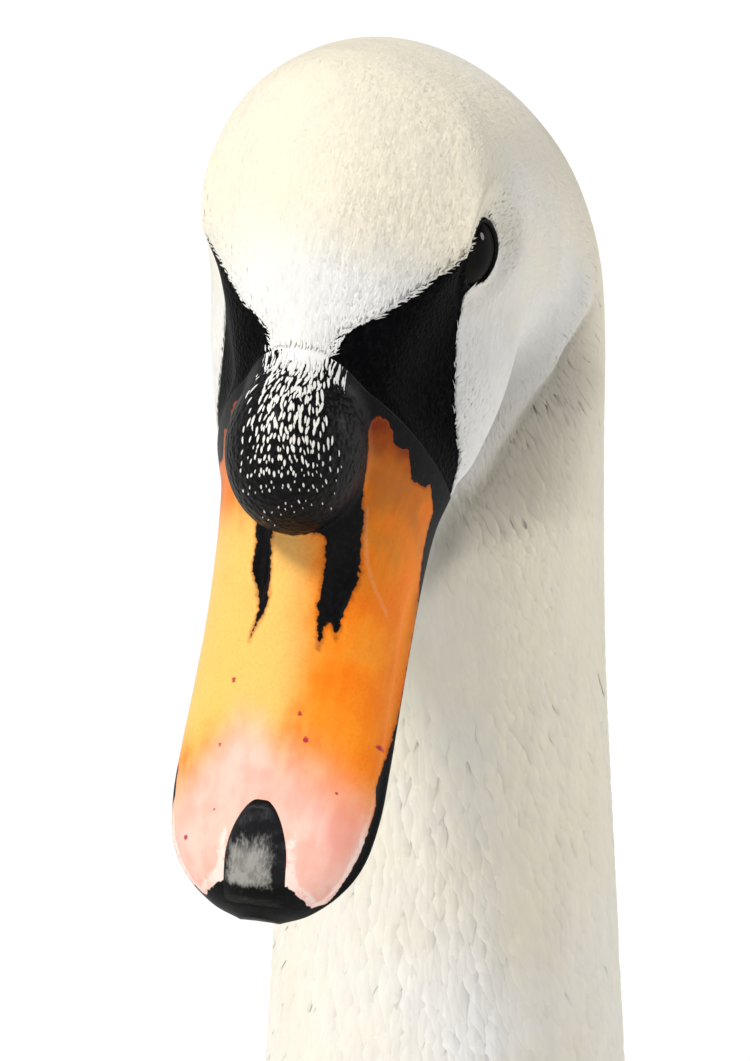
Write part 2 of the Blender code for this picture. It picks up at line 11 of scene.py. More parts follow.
import bmesh
import bpy
import numpy as np
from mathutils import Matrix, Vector


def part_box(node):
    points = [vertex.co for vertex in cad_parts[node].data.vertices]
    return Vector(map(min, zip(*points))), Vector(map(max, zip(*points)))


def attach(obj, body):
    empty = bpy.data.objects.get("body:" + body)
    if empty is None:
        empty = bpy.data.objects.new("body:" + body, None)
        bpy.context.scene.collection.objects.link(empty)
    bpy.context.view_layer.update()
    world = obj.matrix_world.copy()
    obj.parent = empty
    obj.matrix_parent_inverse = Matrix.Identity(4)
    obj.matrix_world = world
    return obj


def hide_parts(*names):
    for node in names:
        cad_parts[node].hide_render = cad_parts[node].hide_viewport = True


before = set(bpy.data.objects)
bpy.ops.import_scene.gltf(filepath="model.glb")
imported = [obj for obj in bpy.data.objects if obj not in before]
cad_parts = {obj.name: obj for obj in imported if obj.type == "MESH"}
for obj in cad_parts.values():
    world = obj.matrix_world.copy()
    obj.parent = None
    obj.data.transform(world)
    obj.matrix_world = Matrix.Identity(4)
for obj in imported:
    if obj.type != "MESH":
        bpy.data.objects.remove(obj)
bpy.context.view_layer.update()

MM = 0.001
TURN = 2 * math.pi

# Where the head is: its frame's origin lies between the eyes, a little before and below their centres.
PITCH = math.radians(50)
EYE_SET = (17.8 * MM, 7.0 * MM, 0.4 * MM)
EYE_RADIUS = 9.0
eye_low, eye_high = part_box("eye_left")
HEAD_Y = (eye_low[1] + eye_high[1]) / 2 - EYE_SET[1]
HEAD_Z = (eye_low[2] + eye_high[2]) / 2 - EYE_SET[2]
# The sections below are drawn with the head's origin at this y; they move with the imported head.
DRAWN_Y = -0.200
SHIFT = HEAD_Y - DRAWN_Y

# Body, neck: (top y, top z, bottom y, bottom z, half width, how far the widest line lies below the middle).
TAIL_SECTIONS = (
    (0.534, 0.308, 0.533, 0.304, 0.0160, 0.00),
    (0.508, 0.315, 0.506, 0.306, 0.0420, 0.00),
    (0.460, 0.330, 0.457, 0.312, 0.0600, 0.00),
    (0.400, 0.350, 0.394, 0.316, 0.0600, 0.00),
)
BODY_SECTIONS = (
    (0.335, 0.376, 0.315, 0.300, 0.052, 0.00),
    (0.265, 0.428, 0.245, 0.243, 0.100, 0.04),
    (0.165, 0.474, 0.145, 0.193, 0.133, 0.08),
    (0.045, 0.500, 0.025, 0.170, 0.149, 0.10),
    (-0.060, 0.508, -0.095, 0.178, 0.150, 0.10),
    (-0.125, 0.514, -0.190, 0.215, 0.138, 0.06),
    (-0.160, 0.530, -0.262, 0.280, 0.117, 0.02),
    (-0.170, 0.556, -0.299, 0.360, 0.092, 0.00),
    (-0.165, 0.592, -0.296, 0.445, 0.069, 0.00),
    (-0.146, 0.634, -0.258, 0.530, 0.0535, 0.00),
    (-0.122, 0.680, -0.212, 0.606, 0.0440, 0.00),
    (-0.108, 0.730, -0.178, 0.692, 0.0355, 0.00),
    (-0.107, 0.785, -0.170, 0.769, 0.0310, 0.00),
    (-0.111, 0.832, -0.171, 0.826, 0.0292, 0.00),
    (-0.1155, 0.872, -0.1745, 0.868, 0.0298, 0.00),
    (-0.1210, 0.900, -0.1765, 0.885, 0.0312, 0.00),
    (-0.1290, 0.922, -0.1750, 0.8915, 0.0318, 0.00),
    (-0.1405, 0.939, -0.1742, 0.8945, 0.0313, 0.00),
    (-0.1540, 0.9505, -0.1740, 0.8962, 0.0304, 0.00),
    (-0.1680, 0.9585, -0.1744, 0.8972, 0.0297, 0.02),
    (-0.1830, 0.9630, -0.1756, 0.8980, 0.0292, 0.06),
)
# The head, in mm in its own frame: (top f, top u, bottom f, bottom u, half width, drop).
HEAD_SECTIONS = (
    (-28.5, 19.0, 9.5, -37.4, 29.0, 0.10),
    (-16.0, 22.8, 11.0, -36.9, 28.8, 0.16),
    (-4.0, 22.6, 14.0, -36.5, 27.8, 0.22),
    (6.0, 20.0, 19.0, -36.2, 26.2, 0.26),
    (14.5, 17.0, 26.0, -35.6, 24.2, 0.26),
    (20.5, 15.0, 32.5, -35.0, 22.5, 0.24),
    (24.0, 13.6, 38.0, -34.2, 21.6, 0.22),
)
# The upper mandible: (ridge f, ridge u, edge f, edge u, half width, squareness).
UPPER_BILL = (
    (24.2, 12.9, 34.6, -22.6, 21.0, 1.75),
    (33.0, 8.2, 40.5, -23.4, 19.3, 1.75),
    (42.0, 3.2, 47.5, -24.3, 18.6, 1.80),
    (51.0, -1.8, 55.0, -25.0, 18.3, 1.85),
    (61.0, -6.8, 63.0, -25.7, 18.2, 1.95),
    (72.0, -11.2, 73.0, -26.4, 18.3, 2.05),
    (83.0, -14.4, 83.5, -27.0, 18.5, 2.20),
    (92.5, -16.8, 92.5, -27.6, 18.4, 2.30),
    (100.5, -19.0, 100.5, -28.2, 17.0, 2.30),
    (106.3, -21.3, 106.3, -28.9, 13.6, 2.20),
    (110.3, -24.2, 110.3, -29.7, 8.8, 2.10),
    (112.4, -27.6, 112.2, -30.7, 3.6, 2.00),
)
# The lower mandible: (edge f, edge u, keel f, keel u, half width, squareness).
LOWER_BILL = (
    (34.8, -23.1, 37.7, -33.4, 18.8, 2.2),
    (46.0, -24.5, 47.5, -33.6, 16.8, 2.2),
    (60.0, -25.9, 61.0, -33.2, 15.8, 2.2),
    (75.0, -26.9, 75.5, -32.9, 15.8, 2.2),
    (90.0, -27.8, 90.0, -33.2, 16.0, 2.2),
    (100.0, -28.6, 100.0, -33.5, 14.6, 2.2),
    (106.3, -29.5, 106.3, -33.6, 11.2, 2.1),
    (110.0, -30.6, 110.0, -33.6, 6.0, 2.0),
)
# The knob: an ellipsoid about (f, u) with radii (f, u, x), and the place (f, u, x) that its rays start from.
KNOB_CENTRE = (37.2, 4.4)
KNOB_RADII = (14.9, 14.9, 12.0)
KNOB_RAYS_FROM = (38.0, -10.0, 0.0)
# The folded wing: (section of its bed, upper edge, lower edge in degrees from the back, thickness).
WING_BED = (
    (0.520, 0.352, 0.512, 0.298, 0.030, 0.00),
    (0.430, 0.378, 0.418, 0.285, 0.066, 0.00),
    (0.340, 0.404, 0.315, 0.270, 0.092, 0.00),
    (0.268, 0.434, 0.245, 0.238, 0.112, 0.02),
) + BODY_SECTIONS[2:8]
WING_OUTLINE = (
    (8.05, 66.0, 80.0, 0.006),
    (7.75, 48.0, 94.0, 0.015),
    (7.25, 33.0, 103.0, 0.021),
    (6.40, 20.0, 108.0, 0.024),
    (5.40, 12.0, 108.0, 0.025),
    (4.40, 8.0, 103.0, 0.024),
    (3.50, 6.0, 95.0, 0.021),
    (2.70, 5.0, 84.0, 0.017),
    (2.10, 5.0, 70.0, 0.013),
    (1.60, 5.0, 60.0, 0.010),
    (1.00, 6.0, 50.0, 0.008),
    (0.40, 9.0, 40.0, 0.006),
)
# How far the wing lies off its bed, and how thick it is at its very edges.
WING_CLEARANCE = 2.5 * MM
WING_EDGE = 2.5 * MM

# Legs, as in the solids: the toe joint, the hock, and where the feathered thigh enters the belly.
TOE_JOINT = (0.078, 0.052)
HOCK = (0.080, 0.092, 0.128)
THIGH_TOP = (0.078, 0.028, 0.262)
TOE_LENGTHS = (0.104, 0.136, 0.126)
TOE_ANGLES = (-25.0, 1.0, 27.0)
TOE_HALF_WIDTH = 6.0 * MM
WEB_REACH = 0.80
WEB_THICKNESS = 2.2 * MM
CLAW_LENGTH = 11 * MM
# The bare leg's skin begins this far above the hock.
LEG_SKIN_RISE = 8 * MM

# A value of the markings' fields that is far outside every mark, and one far inside.
OUTSIDE, INSIDE = -9.0, 9.0

FEATHERED_NODES = ("head", "neck_upper", "neck_middle", "neck_lower", "trunk", "tail")
LEG_NODES = ("thigh", "shank", "foot", "hind_toe")


# ---------------------------------------------------------------------------------------------- shapes

def read_sections(sections, at):
    """Rows between the given ones, on a Catmull-Rom curve; at holds fractional row numbers in any shape."""
    rows = np.asarray(sections, float)
    padded = np.vstack((2 * rows[0] - rows[1], rows, 2 * rows[-1] - rows[-2]))
    at = np.clip(np.asarray(at, float), 0, len(rows) - 1)
    first = np.minimum(at.astype(int), len(rows) - 2)
    t = (at - first)[..., None]
    p0, p1, p2, p3 = (padded[first + k] for k in range(4))
    return 0.5 * (
        2 * p1 + (p2 - p0) * t + (2 * p0 - 5 * p1 + 4 * p2 - p3) * t**2 + (3 * p1 - p0 - 3 * p2 + p3) * t**3
    )


def ease(value, low, high):
    """0 below low, 1 above high, and a smooth S between: t * t * (3 - 2t)."""
    t = np.clip((value - low) / (high - low), 0, 1)
    return t * t * (3 - 2 * t)


def from_head(f, u, x):
    """Points of the head's frame, in mm, as points in metres."""
    y = HEAD_Y - (f * math.cos(PITCH) + u * math.sin(PITCH)) * MM
    z = HEAD_Z + (u * math.cos(PITCH) - f * math.sin(PITCH)) * MM
    return np.stack((x * MM + 0 * y, y, z), axis=-1)


def head_points(places, side=1):
    """An array (..., 3) of f, u and x, as points in metres, on the swan's other side where side is -1."""
    return from_head(places[..., 0], places[..., 1], side * places[..., 2])


def head_step(f, u):
    """A step in the head's frame, in mm, as a step in metres."""
    zero = np.array(0.0)
    return from_head(np.array(f), np.array(u), zero) - from_head(zero, zero, zero)


def unit(steps):
    """Steps brought to a length of 1."""
    return steps / np.linalg.norm(steps, axis=-1, keepdims=True)


def normal_across(place, a, b, small):
    """The unit normal of a surface at (a, b): its step with b crossed with its step with a."""
    return unit(np.cross(place(a, b + small) - place(a, b - small), place(a + small, b) - place(a - small, b)))


def to_head(points):
    """Points in metres as f, u and x in mm in the head's frame."""
    y, z = points[..., 1] - HEAD_Y, points[..., 2] - HEAD_Z
    f = (-y * math.cos(PITCH) - z * math.sin(PITCH)) / MM
    u = (-y * math.sin(PITCH) + z * math.cos(PITCH)) / MM
    return f, u, points[..., 0] / MM


def head_rows(sections):
    """Section rows of the head's frame as rows of the side view, in metres."""
    rows = np.array(sections)
    top = from_head(rows[:, 0], rows[:, 1], 0 * rows[:, 0])[:, 1:]
    low = from_head(rows[:, 2], rows[:, 3], 0 * rows[:, 0])[:, 1:]
    return np.hstack((top, low, rows[:, 4:5] * MM, rows[:, 5:6]))


def side_rows(sections):
    """Section rows drawn in the side view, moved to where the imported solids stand."""
    return np.array(sections) + np.array((SHIFT, 0, SHIFT, 0, 0, 0))


# One loft runs from the tail's tip to the bill's base. Section 0 is the tail's root, as in the solids.
LOFT = np.vstack((side_rows(TAIL_SECTIONS), side_rows(BODY_SECTIONS), head_rows(HEAD_SECTIONS)))
TAIL_END = -float(len(TAIL_SECTIONS))
BILL_END = float(len(BODY_SECTIONS) + len(HEAD_SECTIONS) - 1)
HEAD_START = float(len(BODY_SECTIONS) - 2)
BILL_ROWS = head_rows(UPPER_BILL)
BED_ROWS = side_rows(WING_BED)


def ray_to_knob(f, u, x):
    """How far the knob reaches beyond a point, in mm, seen from a place deep in the bill's base.

    From D the ray through the point leaves the ellipsoid at r = (-b + sqrt(b*b - a*c)) / a, where a, b and c are
    the squares and products of the ray's step and D's offset, each divided by the ellipsoid's radii.
    """
    deep, radii = np.array(KNOB_RAYS_FROM), np.array(KNOB_RADII)
    step = np.stack((f, u, x), axis=-1) - deep
    reach = np.linalg.norm(step, axis=-1)
    step = step / np.maximum(reach, 1e-6)[..., None]
    offset = (deep - np.array((*KNOB_CENTRE, 0.0))) / radii
    scaled = step / radii
    a = (scaled**2).sum(axis=-1)
    b = (scaled * offset).sum(axis=-1)
    c = (offset**2).sum() - 1
    return (-b + np.sqrt(b * b - a * c)) / a, reach, step, deep


def swell_knob(points):
    """Points under the knob move out to it: the larger of the two reaches, rounded where they meet."""
    f, u, x = to_head(points)
    knob, reach, step, deep = ray_to_knob(f, u, x)
    soft = 0.7 + 11.0 * ease(-f, -40, -22) * (1 - ease(np.abs(x), 5, 13)) + 2.0 * ease(np.abs(x), 5, 12)
    near = np.maximum(soft - np.abs(knob - reach), 0) / soft
    out = np.maximum(knob, reach) + near**2 * soft / 4
    return head_points(deep + step * out[..., None])


def oval(rows, turn):
    """A section seen at an angle from the back: x = half * sin, and in the section's plane middle + rise * (cos -
    drop * sin * sin). Also gives the middles and the rises."""
    top, low = rows[..., 0:2], rows[..., 2:4]
    middle, rise = (top + low) / 2, (top - low) / 2
    up = np.cos(turn) - rows[..., 5] * np.sin(turn) ** 2
    side = middle + rise * up[..., None]
    return np.concatenate(((rows[..., 4] * np.sin(turn))[..., None], side), axis=-1), middle, rise


def arch(rows, b):
    """An arch over a sole: x = half * cos^p, lift = sin^p with p = 2 / squareness, for b from 0 to pi."""
    power = 2 / rows[..., 5]
    x = rows[..., 4] * np.sign(np.cos(b)) * np.abs(np.cos(b)) ** power
    lift = np.abs(np.sin(b)) ** power
    side = rows[..., 2:4] + (rows[..., 0:2] - rows[..., 2:4]) * lift[..., None]
    return np.concatenate((x[..., None], side), axis=-1)


def bill_base():
    """The bill's outline where it leaves the face, as (angle, reach) about the last head ring's middle."""
    top, low = LOFT[-1, 0:2], LOFT[-1, 2:4]
    middle, half = (top + low) / 2, np.linalg.norm(top - low) / 2
    axis = (top - low) / np.linalg.norm(top - low)
    upper = arch(BILL_ROWS[:1], np.linspace(math.pi / 2, 0, 60))
    turn = np.linspace(0, math.pi / 2, 30)
    lower_rows = head_rows(LOWER_BILL)[0]
    keel = lower_rows[0:2] + (lower_rows[2:4] - lower_rows[0:2]) * np.sin(turn)[:, None] ** 0.9
    lower = np.column_stack((lower_rows[4] * 1.04 * np.cos(turn) ** 0.9, keel))
    outline = np.vstack((upper, lower))
    x, v = outline[:, 0], (outline[:, 1:] - middle) @ axis
    angle = np.arctan2(x, v)
    order = np.argsort(angle)
    return angle[order], (np.hypot(x, v) / half)[order]


BASE_ANGLE, BASE_REACH = bill_base()


def meet_bill(points, s, middle, rise):
    """Over the last rings of the head, brings the outline to the bill's own base."""
    share = ease(s, BILL_END - 1.7, BILL_END - 0.05)
    half = np.linalg.norm(rise, axis=-1)
    axis = rise / half[..., None]
    v = ((points[..., 1:] - middle) * axis).sum(axis=-1)
    x = points[..., 0]
    now = np.hypot(x, v)
    wanted = np.interp(np.abs(np.arctan2(x, v)), BASE_ANGLE, BASE_REACH) * half
    scale = 1 + (wanted / np.maximum(now, 1e-9) - 1) * share
    side = middle + axis * (v * scale)[..., None]
    return np.concatenate(((x * scale)[..., None], side), axis=-1)


# The crease under the cheek, in the side view of the head's frame (f, u), from the throat backwards.
CREASE = (
    (46.0, -73.0), (28.4, -60.7), (23.6, -59.2), (19.0, -57.6), (14.7, -54.9), (9.3, -52.9), (5.7, -52.3),
    (0.4, -52.3), (-3.6, -51.2), (-8.1, -51.3), (-15.0, -53.0), (-24.0, -58.0), (-45.0, -74.0),
)


def off_line(a, b, corners, ends):
    """Seen from the places (a, b), each stretch from corner to end: the step from its nearest point to the place,
    and which share of the stretch lies before that point."""
    run = ends - corners
    place = np.stack((a, b), axis=-1)[..., None, :] - corners
    share = ((place * run).sum(-1) / (run * run).sum(-1)).clip(0, 1)
    return place - share[..., None] * run, share


def crease_place(f, u):
    """mm above the crease's line in the side view (negative on the neck), and how many mm along it a place is."""
    corners = np.array(CREASE)
    away, share = off_line(f, u, corners[:-1], corners[1:])
    run = np.diff(corners, axis=0)
    long = np.linalg.norm(run, axis=-1)
    apart = np.linalg.norm(away, axis=-1)
    side = np.sign(run[:, 1] * away[..., 0] - run[:, 0] * away[..., 1])
    before = np.concatenate(((0,), np.cumsum(long)[:-1]))
    nearest = apart.argmin(axis=-1)[..., None]
    above, along = (np.take_along_axis(v, nearest, axis=-1)[..., 0] for v in (side * apart, before + share * long))
    return above, along


def shape_head(points):
    """Creases the neck under the cheek, fills the jaw, raises the brows over the eyes and hollows the lores."""
    f, u, x = to_head(points)
    side = np.sign(x) * np.minimum(1, np.abs(x) / 10)
    above, along = crease_place(f, u)
    fade = ease(np.abs(x), 6, 14) * ease(along, 16, 27) * (1 - ease(along, 52, 72))
    groove = 3.2 * np.exp(-((above / np.where(above > 0, 4.2, 8.0)) ** 2))
    groove -= 1.6 * np.exp(-(((above - 8.5) / 5.5) ** 2))
    inward = np.stack((x, points[..., 1] / MM - (HEAD_Y / MM + 53.0)), axis=-1)
    inward /= -np.linalg.norm(inward, axis=-1, keepdims=True)
    jaw = 1.8 * np.exp(-(((u + 30) / 8) ** 2)) * ease(f, -20, 4) * (1 - ease(f, 27, 36))
    brow = 1.0 * np.exp(-(((u - 9) / 4.5) ** 2) - ((f + 7) / 16) ** 2)
    brow += 2.2 * np.exp(-(((u - 6.5) / 3.2) ** 2) - ((f + 4) / 8.5) ** 2)
    hollow = 4.6 * np.exp(-(((u + 5) / 10) ** 2)) * ease(f, -8, 7)
    moved = points.copy()
    moved[..., 0] += (side * (brow + jaw - hollow) + inward[..., 0] * groove * fade) * MM
    moved[..., 1] += inward[..., 1] * groove * fade * MM
    return moved


def body_surface(s, turn, knob=True):
    """The coat's outer surface: the loft's oval at section s, with the head's forms, the bill's base and the knob."""
    points, middle, rise = oval(read_sections(LOFT, s - TAIL_END), turn)
    points = meet_bill(shape_head(points), s, middle, rise)
    return swell_knob(points) if knob else points


def bill_surface(s, b, knob=True):
    """The upper mandible: its arch, with a lip along the edge, a nostril each side and the knob."""
    points = arch(read_sections(BILL_ROWS, s), b)
    f, u, x = to_head(points)
    lift = np.abs(np.sin(b))
    lip = 0.45 * np.exp(-(((lift - 0.06) / 0.05) ** 2)) - 0.30 * np.exp(-(((lift - 0.20) / 0.07) ** 2))
    lip = lip * ease(f, 46, 60) * (1 - ease(f, 104, 111))
    nostril = np.exp(-((((f - 56.5) / 6.0) ** 2 + ((x - 8.6) / 1.7) ** 2) ** 2))
    nostril += np.exp(-((((f - 56.0) / 5.5) ** 2 + ((x + 4.8) / 1.2) ** 2) ** 2))
    ridge = 0.35 * np.exp(-((x / 3.5) ** 2)) * ease(f, 52, 60) * (1 - ease(f, 80, 92))
    points = from_head(f, u - 1.1 * nostril + ridge, x + np.sign(x) * lip)
    return swell_knob(points) if knob else points


def wing_surface(r, share, offset=1.0):
    """The left folded wing at row r of its outline, from its upper edge at share 0 to its lower edge at 1: a place
    on the bed plus the bed's normal times (clearance + offset * thickness)."""
    outline = read_sections(WING_OUTLINE, r)
    angle = np.radians(outline[..., 1] + (outline[..., 2] - outline[..., 1]) * share)
    section = outline[..., 0]

    def bed(at, turn):
        """The surface that the wing lies on."""
        return oval(read_sections(BED_ROWS, at), turn)[0]

    normal = normal_across(bed, section, angle, 0.02)
    normal *= np.sign(normal[..., 0:1] + normal[..., 2:3])
    bulge = np.sin(math.pi * np.clip(share, 0, 1)) ** 0.5
    depth = WING_CLEARANCE + offset * (WING_EDGE + outline[..., 3] * bulge)
    return bed(section, angle) + normal * depth[..., None]


# ---------------------------------------------------------------------------------------------- markings

# The forehead's white V and the cheek, as (f, degrees from the crown's line) about an axis 8 mm below the eyes.
V_BORDER = (
    (-1.0, 58.0), (0.7, 57.0), (3.6, 53.0), (8.8, 43.5), (11.3, 38.4), (14.7, 31.0), (17.6, 21.5), (19.8, 16.0),
    (21.4, 14.5), (25.0, 14.0),
)
CHEEK_BORDER = (
    (-1.0, 76.0), (1.0, 77.5), (4.8, 79.5), (9.3, 84.7), (12.7, 90.0), (16.2, 95.5), (19.7, 100.5), (23.7, 107.0),
    (26.3, 112.0), (27.5, 116.0), (29.9, 121.5), (36.0, 126.0),
)
LORE_AXIS = -8.0
MM_PER_DEGREE = 0.32

# The eye in the head's frame (f, u, x): its ball's middle, how far the lids lie over the ball, the way its opening
# faces, the opening's long axis, and half the opening's length and height.
EYE_BALL = (-4.4, -3.0, 16.4)
LID_RISE = 0.45
EYE_FACING = (1.6, 2.0, 8.5)
EYE_LENGTH = (-11.6, 3.0, 0.0)
EYE_OPENING = (5.7, 4.2)


def eye_axes():
    """Unit vectors (f, u, x) of the left eye: along its opening, across it, and out of it."""
    out = unit(np.array(EYE_FACING))
    long = unit(np.array(EYE_LENGTH) - out * (out @ np.array(EYE_LENGTH)))
    return long, np.cross(out, long), out


def eye_chart(f, u, x):
    """Distance from the eyeball's centre, and how far a place lies out of the opening: 1 on its rim."""
    long, across, out = eye_axes()
    step = np.stack((f, u, np.abs(x)), axis=-1) - np.array(EYE_BALL)
    reach = np.linalg.norm(step, axis=-1)
    outward = step / reach[..., None]
    half = np.arcsin(np.array(EYE_OPENING) / EYE_RADIUS)
    turned = np.arccos(np.clip(outward @ out, -1, 1))
    q = np.hypot((outward @ long) / half[0], (outward @ across) / half[1]) * turned / np.maximum(np.sin(turned), 1e-6)
    q = np.where(turned < 1.4, q, INSIDE)
    return q, reach, outward


def fit_lids(points, sunk=EYE_RADIUS - 1.3):
    """Draws the skin over the eyeball round the opening, and down to a radius within the ball inside it."""
    f, u, x = to_head(points)
    q, reach, outward = eye_chart(f, u, x)
    lid = EYE_RADIUS + LID_RISE + 0.25 * np.exp(-(((q - 1.2) / 0.15) ** 2))
    over = lid + (np.maximum(reach, lid) - lid) * ease(q, 1.08, 1.5)
    over = reach + (over - reach) * (1 - ease(q, 1.5, 1.85))
    fitted = np.where(q < 1.0, sunk, over)
    moved = np.array(EYE_BALL) + outward * fitted[..., None]
    moved[..., 2] *= np.where(x < 0, -1, 1)
    away = (q > 1.85)[..., None]
    return np.where(away, points, head_points(moved))


def coat_surface(s, turn):
    """The body's outer surface with the lids drawn over the eyes, which the coat lies on."""
    return fit_lids(body_surface(s, turn), EYE_RADIUS + LID_RISE)


def read_line(line, at):
    """The second number of a line of pairs, read between them at the first."""
    return np.interp(at, *np.transpose(line))


def lore_degrees(u, x):
    """The angle from the crown's line about the lores' axis."""
    return np.degrees(np.arctan2(np.abs(x), u - LORE_AXIS))


def lore_field(points):
    """mm inside the bare black skin between bill and eye (negative outside), before the knob is raised."""
    f, u, x = to_head(points)
    degrees = lore_degrees(u, x)
    band = np.minimum(degrees - read_line(V_BORDER, f), read_line(CHEEK_BORDER, f) - degrees) * MM_PER_DEGREE
    band = np.where(f < -1.0, np.minimum(band, f + 1.0), band)
    q = eye_chart(f, u, x)[0]
    return np.maximum(band, (1.08 - q) * 4.8)


def polygon_field(a, b, outline):
    """Signed distance from a closed outline in the plane (a, b): positive inside it."""
    corners = np.array(outline, float)
    ends = np.roll(corners, -1, axis=0)
    run = ends - corners
    distance = np.linalg.norm(off_line(a, b, corners, ends)[0], axis=-1).min(axis=-1)
    crosses = (corners[:, 1] > b[..., None]) != (ends[:, 1] > b[..., None])
    rise = np.where(run[:, 1] == 0, 1e-9, run[:, 1])
    hit = corners[:, 0] + (b[..., None] - corners[:, 1]) / rise * run[:, 0]
    inside = (crosses & (a[..., None] < hit)).sum(axis=-1) % 2 == 1
    return np.where(inside, distance, -distance)


# The orange sheath, as (f, mm from the ridge round the bill's side): its tongue runs up beside the knob.
LEFT_ORANGE = (
    (50.0, -9.0), (50.0, 13.2), (42.0, 13.6), (36.0, 13.6), (32.6, 13.6), (30.6, 14.6), (29.3, 16.2), (29.2, 18.4),
    (30.4, 20.4), (32.6, 21.4), (32.0, 25.6), (34.3, 26.6), (36.2, 27.6), (36.0, 31.6), (35.2, 34.6), (37.4, 36.6),
    (41.0, 38.0), (46.0, 60.0), (140.0, 60.0), (140.0, -9.0),
)
RIGHT_ORANGE = ((50.0, -9.0), (49.0, 5.5), (45.0, 9.0), (40.0, 11.5), (33.0, 13.0)) + LEFT_ORANGE[5:]
# The black streaks that run from under the knob over the nostrils, as (f, x).
LEFT_STREAK = ((44.0, 6.1), (49.0, 6.1), (54.0, 6.3), (58.6, 5.9), (62.0, 5.7), (68.2, 6.5), (63.6, 7.3), (63.3, 8.1),
               (65.9, 9.1), (61.7, 9.8), (59.5, 10.4), (57.0, 11.1), (55.0, 11.6), (50.5, 11.5), (44.0, 11.5))
RIGHT_STREAK = ((44.0, -2.6), (49.0, -3.1), (52.0, -3.3), (55.0, -3.1), (61.4, -2.9), (64.0, -3.9), (68.0, -6.0),
                (63.0, -4.6), (60.0, -5.2), (57.0, -6.5), (55.0, -6.6), (52.7, -6.1), (50.0, -6.5), (44.0, -6.5))
# How wide the edge's black border is, as (f, mm).
LEFT_EDGE = (
    (38, 4.0), (45, 3.2), (50, 2.0), (55, 0.9), (73, 1.1), (80, 2.1), (84, 3.0), (88, 4.2), (90.5, 2.8), (96, 3.2),
    (102, 2.9), (106, 1.8), (108, 0.9), (110, 2.5),
)
RIGHT_EDGE = (
    (38, 4.0), (45, 3.0), (50, 1.6), (55, 0.7), (84, 0.7), (89, 1.9), (93, 2.2), (96, 0.9), (102, 0.7), (107, 0.7),
    (109, 1.5), (110, 3.0),
)
# Small red marks on the sheath: (f, x, radius).
RED_MARKS = ((74.6, -8.1, 0.75), (79.1, 4.7, 0.7), (83.2, 6.3, 0.85), (85.6, -9.1, 0.6), (101.1, -13.6, 0.7),
             (81.1, 17.4, 0.7), (56.0, -1.9, 0.35), (91.0, 12.5, 0.45), (96.5, -8.5, 0.4))
# Where the sheath turns from orange to pink, as (x, f).
PINK_LINE = (
    (-18, 92), (-14.6, 89.0), (-12, 86.0), (-6.4, 78.5), (-2.0, 79.5), (1.8, 83.5), (5.4, 84.5), (14, 88.0), (18, 91),
)
# A pale crease down the left side, as (f, mm from the ridge).
PALE_CREASE = ((44.0, 14.6), (48.0, 14.4), (52.0, 15.0), (55.5, 17.0), (59.0, 20.5))


def curve_field(a, b, line):
    """Distance from an open line in the plane (a, b)."""
    corners = np.array(line, float)
    return np.linalg.norm(off_line(a, b, corners[:-1], corners[1:])[0], axis=-1).min(axis=-1)


# ---------------------------------------------------------------------------------------------- meshes

def add_mesh(name, points, faces, finishes, fields=None, patches=None, smooth=True, shading=None):
    """An object from an (n, 3) array of points and arrays of faces, each (m, 3) or (m, 4)."""
    mesh = bpy.data.meshes.new(name)
    points = np.asarray(points, np.float32).reshape(-1, 3)
    corners = np.concatenate([np.asarray(part, np.int32).ravel() for part in faces])
    sizes = np.concatenate([np.full(len(part), part.shape[1]) for part in faces])
    mesh.vertices.add(len(points))
    mesh.vertices.foreach_set("co", points.ravel())
    mesh.loops.add(len(corners))
    mesh.loops.foreach_set("vertex_index", corners)
    mesh.polygons.add(len(sizes))
    mesh.polygons.foreach_set("loop_start", np.concatenate(((0,), np.cumsum(sizes)[:-1])).astype(np.int32))
    for key, values in (fields or {}).items():
        layer = mesh.attributes.new(key, "FLOAT", "POINT")
        layer.data.foreach_set("value", np.asarray(values, np.float32).ravel())
    if patches is not None:
        layer = mesh.uv_layers.new(name="OFBake")
        layer.data.foreach_set("uv", np.asarray(patches, np.float32).reshape(-1, 2)[corners].ravel())
    mesh.update(calc_edges=True)
    mesh.validate()
    for finish in finishes:
        mesh.materials.append(finish)
    if smooth:
        mesh.shade_smooth()
    if shading is not None:
        mesh.normals_split_custom_set(corner_normals(points, faces[0], shading))
    obj = bpy.data.objects.new(name, mesh)
    bpy.context.scene.collection.objects.link(obj)
    return obj


def corner_normals(points, faces, shading):
    """Each corner's shading normal: the given one, turned to its face's own side, and leaning to the face's own
    normal where the two are nearly square to each other."""
    ring = points[faces]
    own = np.cross(ring[:, 1] - ring[:, 0], ring[:, 2] - ring[:, 0])[:, None]
    own /= np.maximum(np.linalg.norm(own, axis=-1, keepdims=True), 1e-20)
    wanted = shading.reshape(-1, 3)[faces]
    agree = (own * wanted.mean(axis=1, keepdims=True)).sum(axis=-1, keepdims=True)
    wanted = wanted * np.where(agree < 0, -1, 1) + own * (1 - ease(np.abs(agree), 0.15, 0.55))
    wanted /= np.maximum(np.linalg.norm(wanted, axis=-1, keepdims=True), 1e-20)
    return wanted.reshape(-1, 3).astype(np.float32)


def quads(grid):
    """Quads between the neighbours of a grid of point numbers."""
    return np.stack((grid[:-1, :-1], grid[:-1, 1:], grid[1:, 1:], grid[1:, :-1]), axis=-1).reshape(-1, 4)


def tube_faces(rows, count):
    """Quads between closed rings, and a fan of triangles over each end ring's own middle point."""
    grid = np.arange(rows * count).reshape(rows, count)
    ring, after = grid[0], np.roll(grid[0], -1)
    middle, last = rows * count, (rows - 1) * count
    start = np.stack((after, ring, np.full(count, middle)), axis=-1)
    end = np.stack((last + ring, last + after, np.full(count, middle + 1)), axis=-1)
    return quads(np.pad(grid, ((0, 0), (0, 1)), mode="wrap")), np.vstack((start, end))


